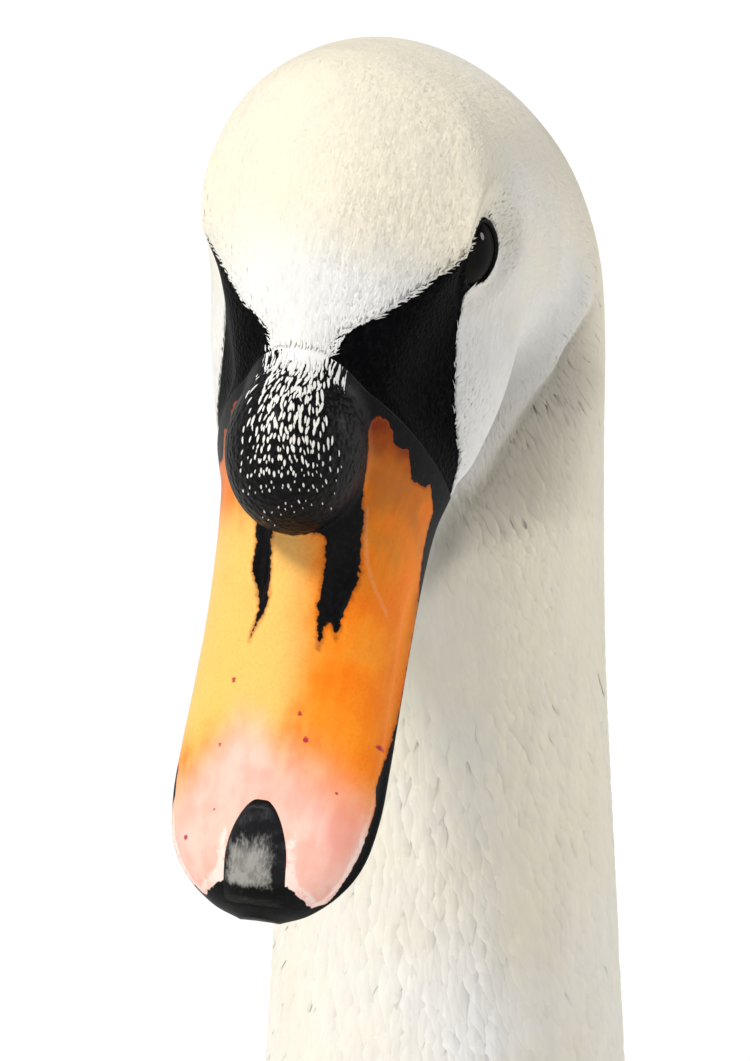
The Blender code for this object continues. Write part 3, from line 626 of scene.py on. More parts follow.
def tube(name, rings, finishes, fields=None):
    """A closed solid through an array (rows, count, 3) of rings."""
    rows, count = rings.shape[:2]
    points = np.vstack((rings.reshape(-1, 3), rings[0].mean(axis=0), rings[-1].mean(axis=0)))
    if fields:
        fields = {key: np.concatenate((v.ravel(), (v[0].mean(), v[-1].mean()))) for key, v in fields.items()}
    obj = add_mesh(name, points, tube_faces(rows, count), finishes, fields)
    face_out(obj)
    return obj


def face_out(obj):
    """Turns a closed mesh's faces outwards."""
    shell = bmesh.new()
    shell.from_mesh(obj.data)
    bmesh.ops.recalc_face_normals(shell, faces=shell.faces)
    shell.to_mesh(obj.data)
    shell.free()


def slab(name, outer, inner, finishes, fields=None):
    """A closed solid between two grids (rows, count, 3), walled along their borders."""
    rows, count = outer.shape[:2]
    size = rows * count
    top = quads(np.arange(size).reshape(rows, count))
    rim = np.concatenate((
        np.arange(count), np.arange(1, rows) * count + count - 1,
        (rows - 1) * count + np.arange(count - 2, -1, -1), np.arange(rows - 2, 0, -1) * count,
    ))
    after = np.roll(rim, -1)
    wall = np.stack((after, rim, size + rim, size + after), axis=-1)
    points = np.vstack((outer.reshape(-1, 3), inner.reshape(-1, 3)))
    if fields:
        fields = {key: np.concatenate((v.ravel(), v.ravel())) for key, v in fields.items()}
    obj = add_mesh(name, points, (top, top[:, ::-1] + size, wall), finishes, fields)
    face_out(obj)
    return obj


def copy_mirrored(points):
    """The same points on the swan's other side."""
    return points * (-1, 1, 1)


def apply_modifiers(obj):
    """Leaves the object with its modifiers' result as its own mesh."""
    bpy.context.view_layer.update()
    graph = bpy.context.evaluated_depsgraph_get()
    made = bpy.data.meshes.new_from_object(obj.evaluated_get(graph))
    obj.modifiers.clear()
    obj.data = made


def join(base, others):
    """Adds the other objects' meshes to base's, and removes them."""
    with bpy.context.temp_override(active_object=base, selected_editable_objects=[base, *others]):
        bpy.ops.object.join()


def settle(obj, slot, *nodes):
    """Fixes a finished piece to the one body and hides the solids that it stands for; its slot is not used."""
    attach(obj, "root")
    if nodes:
        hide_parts(*nodes)
    return obj


# ---------------------------------------------------------------------------------------------- finishes

class Finish:
    """A Principled material put together from a few kinds of node."""

    def __init__(self, name, **sockets):
        self.material = bpy.data.materials.new(name)
        self.material.use_nodes = True
        self.tree = self.material.node_tree
        self.shader = self.tree.nodes["Principled BSDF"]
        for key, value in sockets.items():
            self.shader.inputs[key.replace("_", " ")].default_value = value

    def node(self, kind, inputs=(), **settings):
        """A new node with its settings, its inputs set or linked by name or number."""
        made = self.tree.nodes.new("ShaderNode" + kind)
        for key, value in settings.items():
            setattr(made, key, value)
        for key, value in dict(inputs).items():
            if isinstance(value, bpy.types.NodeSocket):
                self.tree.links.new(value, made.inputs[key])
            else:
                made.inputs[key].default_value = value
        return made

    def read(self, name):
        """A point attribute."""
        return self.node("Attribute", attribute_name=name).outputs["Fac"]

    def place(self, stretch=(1, 1, 1), turn=(0, 0, 0)):
        """Object coordinates, turned and then stretched."""
        spot = self.node("TexCoord").outputs["Object"]
        turned = self.node("Mapping", {"Vector": spot, "Rotation": turn})
        return self.node("Mapping", {"Vector": turned.outputs[0], "Scale": stretch}).outputs[0]

    def down_bill(self, stretch):
        """Coordinates that run down the bill, stretched along it."""
        return self.place((1.0, 1.0, stretch), (-PITCH - math.pi / 2, 0, 0))

    def noise(self, scale, where=None, detail=3.0, rough=0.55):
        """Soft noise, from 0 to 1."""
        inputs = {"Scale": scale, "Detail": detail, "Roughness": rough}
        inputs["Vector"] = where or self.place()
        return self.node("TexNoise", inputs).outputs["Fac"]

    def cells(self, scale, where=None, feature="F1"):
        """Distances in a pattern of round cells."""
        inputs = {"Scale": scale, "Vector": where or self.place()}
        return self.node("TexVoronoi", inputs, feature=feature).outputs["Distance"]

    def sum(self, first, second, way="ADD"):
        """Two values added, or put together in another way."""
        return self.node("Math", {0: first, 1: second}, operation=way).outputs[0]

    def span(self, value, low, high, start=0.0, end=1.0):
        """A smooth S from start to end while the value goes from low to high."""
        inputs = {0: value, 1: low, 2: high, 3: start, 4: end}
        return self.node("MapRange", inputs, interpolation_type="SMOOTHSTEP").outputs[0]

    def blend(self, share, first, second):
        """A share of the second colour over the first."""
        made = self.node("Mix", data_type="RGBA")
        for socket, value in ((made.inputs[0], share), (made.inputs[6], first), (made.inputs[7], second)):
            if isinstance(value, bpy.types.NodeSocket):
                self.tree.links.new(value, socket)
            else:
                socket.default_value = (*value, 1.0) if isinstance(value, tuple) else value
        return made.outputs[2]

    def ragged(self, name, scale, detail, reach):
        """A field of the markings, in mm, with noise that frays its border."""
        fray = self.sum(self.noise(scale, detail=detail), 0.5, "SUBTRACT")
        return self.sum(self.read(name), self.sum(fray, reach, "MULTIPLY"))

    def cream(self):
        """How creamy a place is, in soft clouds."""
        return self.span(self.sum(self.read("cream"), self.noise(38.0)), 0.45, 1.45)

    def with_painted_shade(self, colour):
        """A colour with the painted shade of the crease under the cheek laid over it."""
        return self.blend(self.span(self.read("painted_shade"), 0.0, 1.0, 0.0, 0.85), colour, PAINTED_CREASE_SHADE)

    def bump(self, height, distance, strength=1.0, under=None):
        """A normal raised by a height."""
        inputs = {"Height": height, "Distance": distance, "Strength": strength}
        if under is not None:
            inputs["Normal"] = under
        return self.node("Bump", inputs).outputs[0]

    def set(self, **sockets):
        """Links values to the shader's sockets, and gives the material."""
        for key, value in sockets.items():
            self.tree.links.new(value, self.shader.inputs[key.replace("_", " ")])
        return self.material


WHITE = (0.80, 0.797, 0.79)
CREAM = (0.80, 0.735, 0.585)
# The colour of the painted shade in the crease under the cheek.
PAINTED_CREASE_SHADE = (0.27, 0.248, 0.205)
SOFT_BLACK = (0.0015, 0.0015, 0.002)


# How fast the barbs follow each other, in radians of their wave to a metre, and half a shaft's width.
BARB_RATE = 5200.0
SHAFT_WIDTH = 0.9 * MM


def plumage_finish(name, barbs):
    """White feathers, creamier where the coat says so, with painted shade at the root and in the crease under the
    cheek, and fine barbs beside the shaft.
    """
    finish = Finish(name, Roughness=0.85, Specular_IOR_Level=0.15, Sheen_Weight=0.10, Sheen_Roughness=0.5)
    along, reach, span = finish.read("along"), finish.read("reach"), finish.read("span")
    colour = finish.blend(finish.cream(), WHITE, CREAM)
    tone = finish.span(finish.read("tone"), 0.0, 1.0, 0.0, 0.26 - 0.16 * barbs)
    colour = finish.blend(tone, colour, (0.68, 0.65, 0.59))
    streaks = finish.noise(150.0, finish.place((1.0, 1.0, 0.22)), 3.0, 0.6)
    colour = finish.blend(finish.span(streaks, 0.40, 0.68, 0.0, 0.16), colour, (0.60, 0.575, 0.52))
    # Painted shade in and around the crease under the cheek.
    colour = finish.with_painted_shade(colour)
    # Painted shade at each feather's root, stronger on the broad feathers.
    root = finish.span(along, 0.0, 0.65, 0.24 * barbs + 0.10, 0.0)
    colour = finish.blend(root, colour, (0.55, 0.53, 0.50))
    aside = finish.sum(span, 0.0, "ABSOLUTE")
    slant = finish.sum(aside, reach, "SUBTRACT")
    comb = finish.sum(finish.sum(slant, BARB_RATE, "MULTIPLY"), 0.0, "SINE")
    shaft = finish.span(aside, 0.0, SHAFT_WIDTH, 1.0, 0.0)
    height = finish.sum(finish.sum(comb, 0.25, "MULTIPLY"), shaft)
    normal = finish.bump(height, 0.0002, 0.35 * barbs, finish.bump(streaks, 0.003, 0.30))
    return finish.set(Base_Color=colour, Normal=normal)


def skin_finish():
    """The skin under the coat, white where feathers cover it and black and finely grained on the bare lores."""
    finish = Finish("skin_and_lores", Specular_IOR_Level=0.02)
    bare = finish.span(finish.ragged("lore", 1500.0, 2.0, 1.1), -0.10, 0.12)
    # The down gets the same painted shade in the crease as the feathers.
    down = finish.with_painted_shade(finish.blend(finish.cream(), (0.76, 0.755, 0.745), (0.76, 0.70, 0.56)))
    grain = finish.noise(900.0, detail=4.0, rough=0.65)
    black = finish.blend(finish.span(grain, 0.45, 0.75), SOFT_BLACK, (0.006, 0.006, 0.007))
    colour = finish.blend(bare, down, black)
    rough = finish.span(bare, 0.0, 1.0, 0.85, 0.50)
    pits = finish.cells(1300.0)
    normal = finish.bump(pits, 0.00035, 0.6, finish.bump(grain, 0.0004, 0.6))
    return finish.set(Base_Color=colour, Roughness=rough, Normal=normal)


def bill_finish():
    """The orange sheath, yellower on its lit side as painted light, pink towards the tip and with painted shade at its
    base, with black borders and streaks, and the black knob, white where the forehead's feathers run on over it."""
    finish = Finish("bill_sheath", Specular_IOR_Level=0.09, Coat_Weight=0.03, Coat_Roughness=0.25)
    lengthwise = finish.down_bill(0.16)
    streaks = finish.noise(420.0, lengthwise, 4.0, 0.6)
    clouds = finish.noise(110.0, detail=3.0)
    fine = finish.noise(1900.0, detail=3.0, rough=0.6)
    grain = finish.noise(1100.0, detail=3.0, rough=0.6)
    warm = finish.sum(finish.sum(streaks, 0.35, "MULTIPLY"), finish.sum(clouds, 0.65, "MULTIPLY"))
    colour = finish.blend(finish.span(warm, 0.36, 0.64), (0.92, 0.205, 0.007), (0.96, 0.295, 0.016))
    # Painted light: the sheath turns yellower over its sunlit side.
    painted_light_yellow = finish.sum(finish.read("painted_light_yellow"), finish.span(warm, 0.3, 0.7, -0.14, 0.14))
    colour = finish.blend(finish.span(painted_light_yellow, 0.0, 1.0, 0.0, 0.95), colour, (0.96, 0.545, 0.145))
    # Painted shade: brown at the sheath's base, most next to the face under the knob; it also darkens the sheath along
    # its edges near the base.
    brown = finish.sum(finish.read("brown"), finish.span(clouds, 0.3, 0.7, -0.16, 0.16))
    colour = finish.blend(finish.span(brown, 0.0, 1.0), colour, (0.17, 0.020, 0.001))
    colour = finish.blend(finish.span(fine, 0.30, 0.60, 0.13, 0.0), colour, (0.45, 0.09, 0.006))
    pink = finish.span(finish.sum(finish.read("pink"), finish.sum(clouds, 0.30, "MULTIPLY")), 0.15, 1.05)
    rosy = finish.blend(finish.span(warm, 0.38, 0.62), (0.87, 0.44, 0.355), (0.93, 0.56, 0.47))
    rosy = finish.blend(finish.span(finish.read("flush"), 0.0, 1.0, 0.0, 0.75), rosy, (0.80, 0.30, 0.22))
    pale = finish.sum(finish.read("pale"), finish.span(grain, 0.3, 0.7, -0.3, 0.3))
    rosy = finish.blend(finish.span(pale, 0.45, 1.1, 0.0, 0.75), rosy, (0.93, 0.78, 0.71))
    colour = finish.blend(pink, colour, rosy)
    crease = finish.span(finish.sum(finish.read("crease"), finish.sum(grain, 0.5, "MULTIPLY")), 1.0, 0.45, 0.0, 0.20)
    colour = finish.blend(crease, colour, (0.85, 0.50, 0.26))
    marks = finish.span(finish.sum(finish.read("marks"), finish.sum(fine, 0.6, "MULTIPLY")), 0.80, 1.15, 0.0, 0.9)
    colour = finish.blend(marks, colour, (0.36, 0.010, 0.045))
    field = finish.ragged("black", 900.0, 3.0, 1.3)
    halo = finish.span(field, -0.75, 0.05, 0.0, 0.6)
    colour = finish.blend(halo, colour, finish.blend(pink, (0.30, 0.05, 0.004), (0.90, 0.70, 0.63)))
    bare = finish.span(field, -0.08, 0.12)
    black = finish.blend(finish.span(grain, 0.45, 0.80), SOFT_BLACK, (0.008, 0.008, 0.009))
    colour = finish.blend(bare, colour, black)
    tufts = finish.noise(1500.0, lengthwise, 2.0, 0.6)
    down = finish.sum(finish.read("down"), finish.span(tufts, 0.3, 0.7, -2.2, 2.2))
    down = finish.span(down, -0.15, 0.25)
    colour = finish.blend(down, colour, (0.78, 0.78, 0.775))
    rough = finish.span(bare, 0.0, 1.0, 0.42, 0.50)
    knob = finish.span(finish.read("knob"), -0.4, 0.4)
    beads = finish.span(finish.cells(760.0), 0.0, 0.75, 1.0, 0.0)
    relief = finish.sum(finish.sum(beads, knob, "MULTIPLY"), finish.sum(streaks, 0.25, "MULTIPLY"))
    normal = finish.bump(relief, 0.00045, 0.85, finish.bump(fine, 0.00008, 0.5))
    return finish.set(Base_Color=colour, Roughness=rough, Normal=normal)


def nail_finish():
    """Black horn, finely scratched lengthwise, with a painted grey sheen over the middle of the nail's face, and its
    upper face painted a little lighter than the front of its tip.
    """
    finish = Finish("nail_horn", Coat_Weight=0.02, Coat_Roughness=0.3, Specular_IOR_Level=0.07)
    scratches = finish.noise(2100.0, finish.down_bill(0.08), 4.0, 0.7)
    clouds = finish.noise(420.0, detail=3.0)
    # Painted sheen: the middle of the nail's face turns grey, broken up by the scratches.
    painted_sheen_and_wear = finish.sum(finish.read("painted_sheen_and_wear"), finish.span(finish.sum(scratches, clouds), 0.75, 1.25, -0.30, 0.25))
    # Painted light and shade: the nail's upper face a little lighter, the front of its tip darker.
    dark = finish.blend(finish.span(finish.read("face"), 0.0, 1.0), (0.002, 0.002, 0.002), (0.022, 0.022, 0.026))
    dark = finish.blend(finish.span(clouds, 0.4, 0.65, 0.6, 0.0), dark, (0.003, 0.003, 0.003))
    colour = finish.blend(finish.span(painted_sheen_and_wear, 0.10, 1.10), dark, (0.32, 0.31, 0.285))
    normal = finish.bump(finish.sum(scratches, clouds), 0.0003, 0.7)
    return finish.set(Base_Color=colour, Roughness=finish.span(painted_sheen_and_wear, 0.0, 1.0, 0.30, 0.50), Normal=normal)


def horn_finish():
    """Dark horn of the claws and the lower mandible."""
    finish = Finish("dark_horn")
    grain = finish.noise(700.0, finish.place((1, 1, 0.3)), 4.0, 0.6)
    colour = finish.blend(finish.span(grain, 0.4, 0.7), (0.012, 0.012, 0.012), (0.05, 0.045, 0.04))
    return finish.set(Base_Color=colour, Roughness=finish.span(grain, 0.3, 0.7, 0.35, 0.5),
                      Normal=finish.bump(grain, 0.0003, 0.6))


def leg_finish():
    """Blackish leg skin in small scales, with creases across the toes and dusty high places."""
    finish = Finish("leg_scales", Specular_IOR_Level=0.45)
    scales = finish.cells(430.0, feature="DISTANCE_TO_EDGE")
    plates = finish.cells(190.0, finish.place((0.45, 1.0, 1.0)), feature="DISTANCE_TO_EDGE")
    mottle = finish.noise(120.0, detail=4.0)
    raised = finish.sum(finish.span(scales, 0.0, 0.12), finish.span(plates, 0.0, 0.08, 0.0, 0.6))
    colour = finish.blend(finish.span(mottle, 0.35, 0.7), (0.022, 0.022, 0.023), (0.060, 0.058, 0.054))
    colour = finish.blend(finish.span(raised, 0.3, 1.6, 0.6, 0.0), colour, (0.010, 0.010, 0.010))
    return finish.set(Base_Color=colour, Roughness=finish.span(mottle, 0.3, 0.7, 0.42, 0.62),
                      Normal=finish.bump(raised, 0.0005, 0.7))


def eye_finish():
    """A wet eye: black pupil, dark brown iris and a black rim."""
    finish = Finish("wet_eye", Roughness=0.2, Coat_Weight=0.16, Coat_Roughness=0.03, Specular_IOR_Level=0.0)
    angle = finish.read("angle")
    iris = finish.span(finish.noise(1600.0, detail=3.0), 0.3, 0.7)
    brown = finish.blend(iris, (0.002, 0.0015, 0.001), (0.006, 0.0035, 0.002))
    colour = finish.blend(finish.span(angle, 17.0, 19.0), (0.001, 0.001, 0.001), brown)
    colour = finish.blend(finish.span(angle, 33.0, 36.0), colour, (0.003, 0.003, 0.003))
    return finish.set(Base_Color=colour)


def lid_finish():
    """The thin black margin of the lids."""
    finish = Finish("lid_margin", Roughness=0.45, Specular_IOR_Level=0.12)
    grain = finish.noise(2600.0)
    colour = finish.blend(finish.span(grain, 0.4, 0.7), (0.003, 0.003, 0.0035), (0.012, 0.012, 0.014))
    return finish.set(Base_Color=colour, Normal=finish.bump(grain, 0.0002, 0.6))


# ---------------------------------------------------------------------------------------------- skin

def cream_share(points):
    """How creamy the coat is: most over the crown and the nape, a little down the neck."""
    f, u, x = to_head(points)
    crown = ease(-f, -18, 8) * ease(u, -4, 16)
    above, along = crease_place(f, u)
    cheek = ease(above, -3, 5) * (1 - ease(along, 50, 74))
    neck = 0.70 * (1 - cheek) * (1 - 0.7 * ease(HEAD_Z - points[..., 2], 0.07, 0.22))
    return np.clip(0.75 * crown + neck + 0.22 * ease(np.abs(x), 14, 24), 0, 1)


def painted_shade_share(points):
    """How much painted shade the coat and skin get: most in the crease under the cheek, less and less over the next 30
    mm of neck and up the cheek above it.
    """
    f, u, x = to_head(points)
    above, along = crease_place(f, u)
    below = 0.88 * np.exp(-np.maximum(-above, 0) / 17.0) * (1 - ease(above, -0.6, 1.2)) * ease(along, 10, 34)
    over = 0.66 * np.exp(-np.maximum(above, 0) / 24.0) * ease(above, -0.6, 1.2)
    line = 0.30 * np.exp(-((above / 1.3) ** 2))
    side = 0.35 + 0.65 * ease(np.abs(x), 0, 12)
    return np.clip((below + over + line) * side * ease(along, -6, 14) * (1 - ease(along, 50, 76)), 0, 1)


def size_at(s, knots, values):
    """A size in metres, read between values in mm that are given at some sections."""
    return np.interp(s, knots, values) * MM


def coat_depth(s, lore=OUTSIDE):
    """How far the skin lies under the coat's outer surface, in metres."""
    knots = (TAIL_END, -1.0, 0.5, 3.0, 6.0, 8.5, 11.0, 14.0, HEAD_START, 22.0, BILL_END - 1, BILL_END)
    depth = size_at(s, knots, (0.5, 1.0, 2.0, 2.4, 2.2, 1.6, 1.1, 0.7, 0.5, 0.45, 0.4, 0.1))
    bare = ease(lore, -1.2, 0.4)
    return depth * (1 - bare) + 0.1 * MM * bare


# How many lines each way a bed's lengths are measured on, and how many its roots are spread by.
BED_LINES = (1200, 97)
SOWING_LINES = (260, 145)
# The steps of the low-discrepancy series: 1 / p and 1 / p^2, where p^3 = p + 1.
SERIES_STEPS = (0.7548776662466927, 0.5698402909980532)
# How far a root is scattered, as a share of the gap between roots.
SCATTER = 0.22


class Bed:
    """A surface, as a function of two numbers, that feathers are planted on. The first number runs along the lie."""

    def __init__(self, place, start, end, around=(0.0, TURN), outward=1, lie=1):
        self.place, self.start, self.end, self.around = place, start, end, around
        self.outward, self.lie = outward, lie
        self.a = np.linspace(start, end, BED_LINES[0])
        self.b = np.linspace(*around, BED_LINES[1])
        a, b = np.meshgrid(self.a, self.b, indexing="ij")
        steps = np.linalg.norm(np.diff(place(a, b), axis=0), axis=-1)
        self.run = np.vstack((np.zeros(len(self.b)), np.cumsum(steps, axis=0)))

    def frame(self, a, b):
        """Points, outward normals, and how many metres one step of either number is."""
        small = 1e-3
        points = self.place(a, b)
        along = (self.place(a + small, b) - self.place(a - small, b)) / (2 * small)
        across = (self.place(a, b + small) - self.place(a, b - small)) / (2 * small)
        normal = np.cross(along, across)
        normal *= self.outward / np.maximum(np.linalg.norm(normal, axis=-1, keepdims=True), 1e-12)
        return points, normal, np.linalg.norm(along, axis=-1), np.linalg.norm(across, axis=-1)

    def left_over(self, a):
        """How many metres are left from a row to the end that feathers run towards."""
        lengths = self.run.mean(axis=1)
        here = np.interp(a, self.a, lengths)
        return lengths[-1] - here if self.lie > 0 else here

    def onward(self, a, b, distance):
        """The first number after going a distance along the lie, read from the lengths of the surface's own lines."""
        low, high = self.around
        column = (b - low) % (high - low) / (high - low)
        column = np.rint(column * (len(self.b) - 1)).astype(int)
        apart = 10.0
        lengths = (self.run + np.arange(len(self.b)) * apart).T.ravel()
        knots = np.tile(self.a, len(self.b))
        here = np.interp(a, self.a, np.arange(len(self.a)))
        row = np.minimum(here.astype(int), len(self.a) - 2)
        base = self.run[row, column] + (self.run[row + 1, column] - self.run[row, column]) * (here - row)
        wanted = np.clip(base + self.lie * distance, 0, self.run[-1, column])
        return np.interp(wanted + column * apart, lengths, knots)

    def sow(self, start, end, count, seed, density=None, around=None):
        """Evenly spread roots: a low-discrepancy series read through the surface's own area, with some scatter."""
        low, high = around or self.around
        rows, columns = SOWING_LINES
        a, b = np.meshgrid(np.linspace(start, end, rows), np.linspace(low, high, columns), indexing="ij")
        points, _, along, across = self.frame(a, b)
        weight = along * across + 1e-12
        if density is not None:
            weight = weight * density(a, b, points)
        scatter = np.random.default_rng(seed)
        index = np.arange(1, count + 1)
        u, v = ((0.5 + index * step) % 1 for step in SERIES_STEPS)
        mean = weight.mean(axis=1)
        before = np.concatenate(((0,), np.cumsum(mean[:-1] + mean[1:])))
        first = np.interp(u, before / before[-1], a[:, 0])
        row = np.clip(np.rint((first - start) / (end - start) * (rows - 1)).astype(int), 0, rows - 1)
        beside = np.cumsum(weight, axis=1) - weight[:, :1]
        beside = beside / beside[:, -1:] * 0.999999 + np.arange(rows)[:, None]
        second = np.interp(v + row, beside.ravel(), b.ravel())
        gap = math.sqrt(weight.mean() * abs(end - start) * (high - low) / count)
        _, _, along, across = self.frame(first, second)
        first = first + scatter.normal(0, SCATTER, count) * gap / along
        second = second + scatter.normal(0, SCATTER, count) * gap / across
        return np.clip(first, min(start, end), max(start, end)), second


def body_skin(finishes):
    """The skin itself: the body's loft sunk by the coat's depth, drawn over the eyes, and tucked into the bill."""
    s = np.concatenate((
        np.linspace(TAIL_END, 8, 50)[:-1], np.linspace(8, 13.5, 32)[:-1], np.linspace(13.5, HEAD_START, 80)[:-1],
        np.linspace(HEAD_START, BILL_END, 175),
    ))
    turn = np.linspace(0, TURN, 176, endpoint=False)
    # The columns crowd towards the sides of the head, where the eyes and the lores are.
    turn = turn - 0.08 * np.sin(2 * turn)
    a, b = np.meshgrid(s, turn, indexing="ij")
    flat = body_surface(a, b, knob=False)
    lore = lore_field(flat)
    points, normals, _, _ = BODY.frame(a, b)
    row = read_sections(LOFT, a - TAIL_END)
    thin = np.linalg.norm(row[..., 0:2] - row[..., 2:4], axis=-1)
    depth = np.minimum.reduce((coat_depth(a, lore), 0.3 * row[..., 4], 0.22 * thin))
    rings = fit_lids(points - normals * depth[..., None])
    # The fields carry the lores, the cream and the painted shade of the crease.
    fields = {"lore": lore, "cream": cream_share(rings), "painted_shade": painted_shade_share(rings)}
    # Two more rings go on under the sheath, so that the edge of the skin is hidden.
    middle = rings[-1].mean(axis=0)
    ahead = head_step(1.2, -0.6)
    tucked = [middle + (rings[-1] - middle) * size + ahead * push for size, push in ((0.982, 0.8), (0.93, 2.2))]
    rings = np.concatenate((rings, tucked))
    fields = {key: np.concatenate((v, v[-1:], v[-1:])) for key, v in fields.items()}
    return tube("skin", rings, finishes, fields)


def wing_core(side, finishes):
    """The folded wing's own body under its feathers."""
    a, b = np.meshgrid(np.linspace(0.15, 10.1, 60), np.linspace(0.06, 0.94, 30), indexing="ij")
    outer, inner = wing_surface(a, b, 0.55), wing_surface(a, b, 0.0)
    if side < 0:
        outer, inner = copy_mirrored(outer), copy_mirrored(inner)
    fields = {"lore": np.full(a.shape, OUTSIDE), "cream": cream_share(outer), "painted_shade": 0 * a}
    return slab("wing_core", outer, inner, finishes, fields)


def stations(rows, count):
    """(x, y, z, half width, half depth) stations read finely along a limb."""
    rows = np.array(rows)
    rows[:, 1] += SHIFT
    return read_sections(rows, np.linspace(0, len(rows) - 1, count))


def level_rings(rows, around, side):
    """Level ovals through stations: x + half width * cos, y + half depth * sin."""
    turn = np.linspace(0, TURN, around, endpoint=False)
    x = side * (rows[:, 0:1] + rows[:, 3:4] * np.cos(turn))
    y = rows[:, 1:2] + rows[:, 4:5] * np.sin(turn)
    return np.dstack((x, y, rows[:, 2:3] + 0 * turn))


def limb(start, end, shape):
    """Stations between two points, from (share, half width, half depth) rows."""
    start, end = np.array(start), np.array(end)
    return [(*(start + (end - start) * t), wide, deep) for t, wide, deep in shape]


# A limb's form: (share of its length, half width, half depth), down from its upper end.
THIGH_SHAPE = (
    (0.0, 0.042, 0.062), (0.3, 0.040, 0.056), (0.55, 0.031, 0.040), (0.78, 0.020, 0.024), (0.92, 0.0135, 0.0155),
    (1.03, 0.0112, 0.0136),
)
SHANK_SHAPE = (
    (-0.04, 0.0050, 0.0060), (-0.02, 0.0088, 0.0110), (0.02, 0.0103, 0.0132), (0.10, 0.0080, 0.0110),
    (0.3, 0.0058, 0.0090), (0.75, 0.0058, 0.0088), (0.92, 0.0078, 0.0100), (1.0, 0.0086, 0.0092),
)
HEEL_SHAPE = ((0.0, 0.0086, 0.0094), (0.4, 0.0092, 0.0100), (0.8, 0.0085, 0.0096), (1.0, 0.0078, 0.0090))


def thigh_surface(t, turn):
    """The left feathered thigh at share t from the belly to the hock."""
    rows = np.array(limb(THIGH_TOP, HOCK, THIGH_SHAPE))
    row = read_sections(rows, t * (len(rows) - 1))
    x = row[..., 0] + row[..., 3] * np.cos(turn)
    y = row[..., 1] + SHIFT + row[..., 4] * np.sin(turn)
    return np.stack((x, y, row[..., 2]), axis=-1)


def toe_step(degrees):
    """A unit step forwards, turned outwards by an angle."""
    angle = np.radians(degrees)
    return np.stack((np.sin(angle), -np.cos(angle)), axis=-1)


def foot_columns():
    """Columns across the foot from inner to outer toe: (angle, sideways offset, reach, ridge height)."""
    columns = []
    for toe, (angle, length) in enumerate(zip(TOE_ANGLES, TOE_LENGTHS)):
        if toe:
            before, before_length = TOE_ANGLES[toe - 1], TOE_LENGTHS[toe - 1]
            for share in (0.3, 0.5, 0.7):
                reach = WEB_REACH * (before_length + (length - before_length) * share)
                sag = 1 - 0.10 * math.sin(share * math.pi)
                columns.append((before + (angle - before) * share, 0.0, reach * sag + 0.008, 0.0))
        for offset, ridge in ((-1.0, 1.5 * MM), (0.0, 7.5 * MM), (1.0, 1.5 * MM)):
            reach = length if offset == 0 else length - 4 * MM
            columns.append((angle, offset * TOE_HALF_WIDTH, reach, ridge))
    return columns


def foot(side, finishes):
    """Three toes and two webs: each column runs out at its angle, and its height is web + ridge with joint swellings,
    over a flat sole."""
    columns = foot_columns()
    column = read_sections(columns, np.linspace(0, len(columns) - 1, 130))
    angle, sideways, reach, ridge = (column[:, k] for k in range(4))
    share = np.linspace(0, 1, 90)[:, None]
    ahead = toe_step(angle)
    across = np.stack((-ahead[:, 1], ahead[:, 0]), axis=-1)
    out = 0.004 + (reach - 0.004) * share
    offset = sideways * np.minimum(1, out / 0.030) * (1 - 0.45 * share**6)
    x = TOE_JOINT[0] + ahead[:, 0] * out + across[:, 0] * offset
    y = TOE_JOINT[1] + SHIFT + ahead[:, 1] * out + across[:, 1] * offset
    hump = 1 + 0.20 * np.cos(share * math.pi * 7)
    ridge = np.maximum(ridge, 0)
    height = WEB_THICKNESS + ridge * (1 - 0.45 * share) * hump * (1 - 0.7 * ease(share, 0.94, 1.0))
    height = np.minimum(height + 16.5 * MM * np.exp(-((out / 0.016) ** 2)), 19.5 * MM)
    top = np.dstack((side * x, y, height))
    sole = np.dstack((side * x, y, 0 * height))
    return slab("foot", top, sole, finishes)


def leg(side, finishes):
    """Bare shank, foot and hind toe, merged into one form."""
    joint_x, joint_y = TOE_JOINT
    shank = limb(HOCK, (joint_x, joint_y, 0.0185), SHANK_SHAPE)
    shank = tube("leg", level_rings(stations(shank, 70), 40, side), finishes)
    pad = limb((joint_x, joint_y + 0.001, 0.019), (joint_x, joint_y + 0.001, 0.0), HEEL_SHAPE)
    pad = tube("heel", level_rings(stations(pad, 14), 32, side), finishes)
    turn = np.linspace(0, TURN, 24, endpoint=False)
    share = np.linspace(0, 1, 24)[:, None]
    size = np.interp(share, (0, 0.35, 0.75, 1.0), (4.8 * MM, 4.2 * MM, 3.4 * MM, 2.2 * MM))
    start = (joint_x - 0.002, joint_y + 0.0055 + SHIFT)
    hind = tube("hind", np.dstack((
        side * (start[0] - 0.004 * share + size * np.cos(turn)),
        start[1] + 0.0255 * share + 0 * turn,
        0.0268 - 0.0153 * share + size * np.sin(turn),
    )), finishes)
    whole = foot(side, finishes)
    join(whole, [shank, pad, hind])
    remesh = whole.modifiers.new("merge", "REMESH")
    remesh.mode, remesh.voxel_size, remesh.use_smooth_shade = "VOXEL", 1.5 * MM, True
    smooth = whole.modifiers.new("settle", "SMOOTH")
    smooth.factor, smooth.iterations = 0.5, 4
    apply_modifiers(whole)
    return whole


# This far below the eyes there is nothing but white.
BELOW_HEAD = 0.12


def paint_skin(mesh):
    """Works the skin's markings and its painted shade out again at its own points; below the head all of it is white.
    """
    points = np.empty(len(mesh.vertices) * 3)
    mesh.vertices.foreach_get("co", points)
    points = points.reshape(-1, 3)
    lore = np.empty(len(points))
    mesh.attributes["lore"].data.foreach_get("value", lore)
    lore[points[:, 2] < HEAD_Z - BELOW_HEAD] = OUTSIDE
    for key, values in (("lore", lore), ("cream", cream_share(points)), ("painted_shade", painted_shade_share(points))):
        mesh.attributes[key].data.foreach_set("value", values.astype(np.float32))


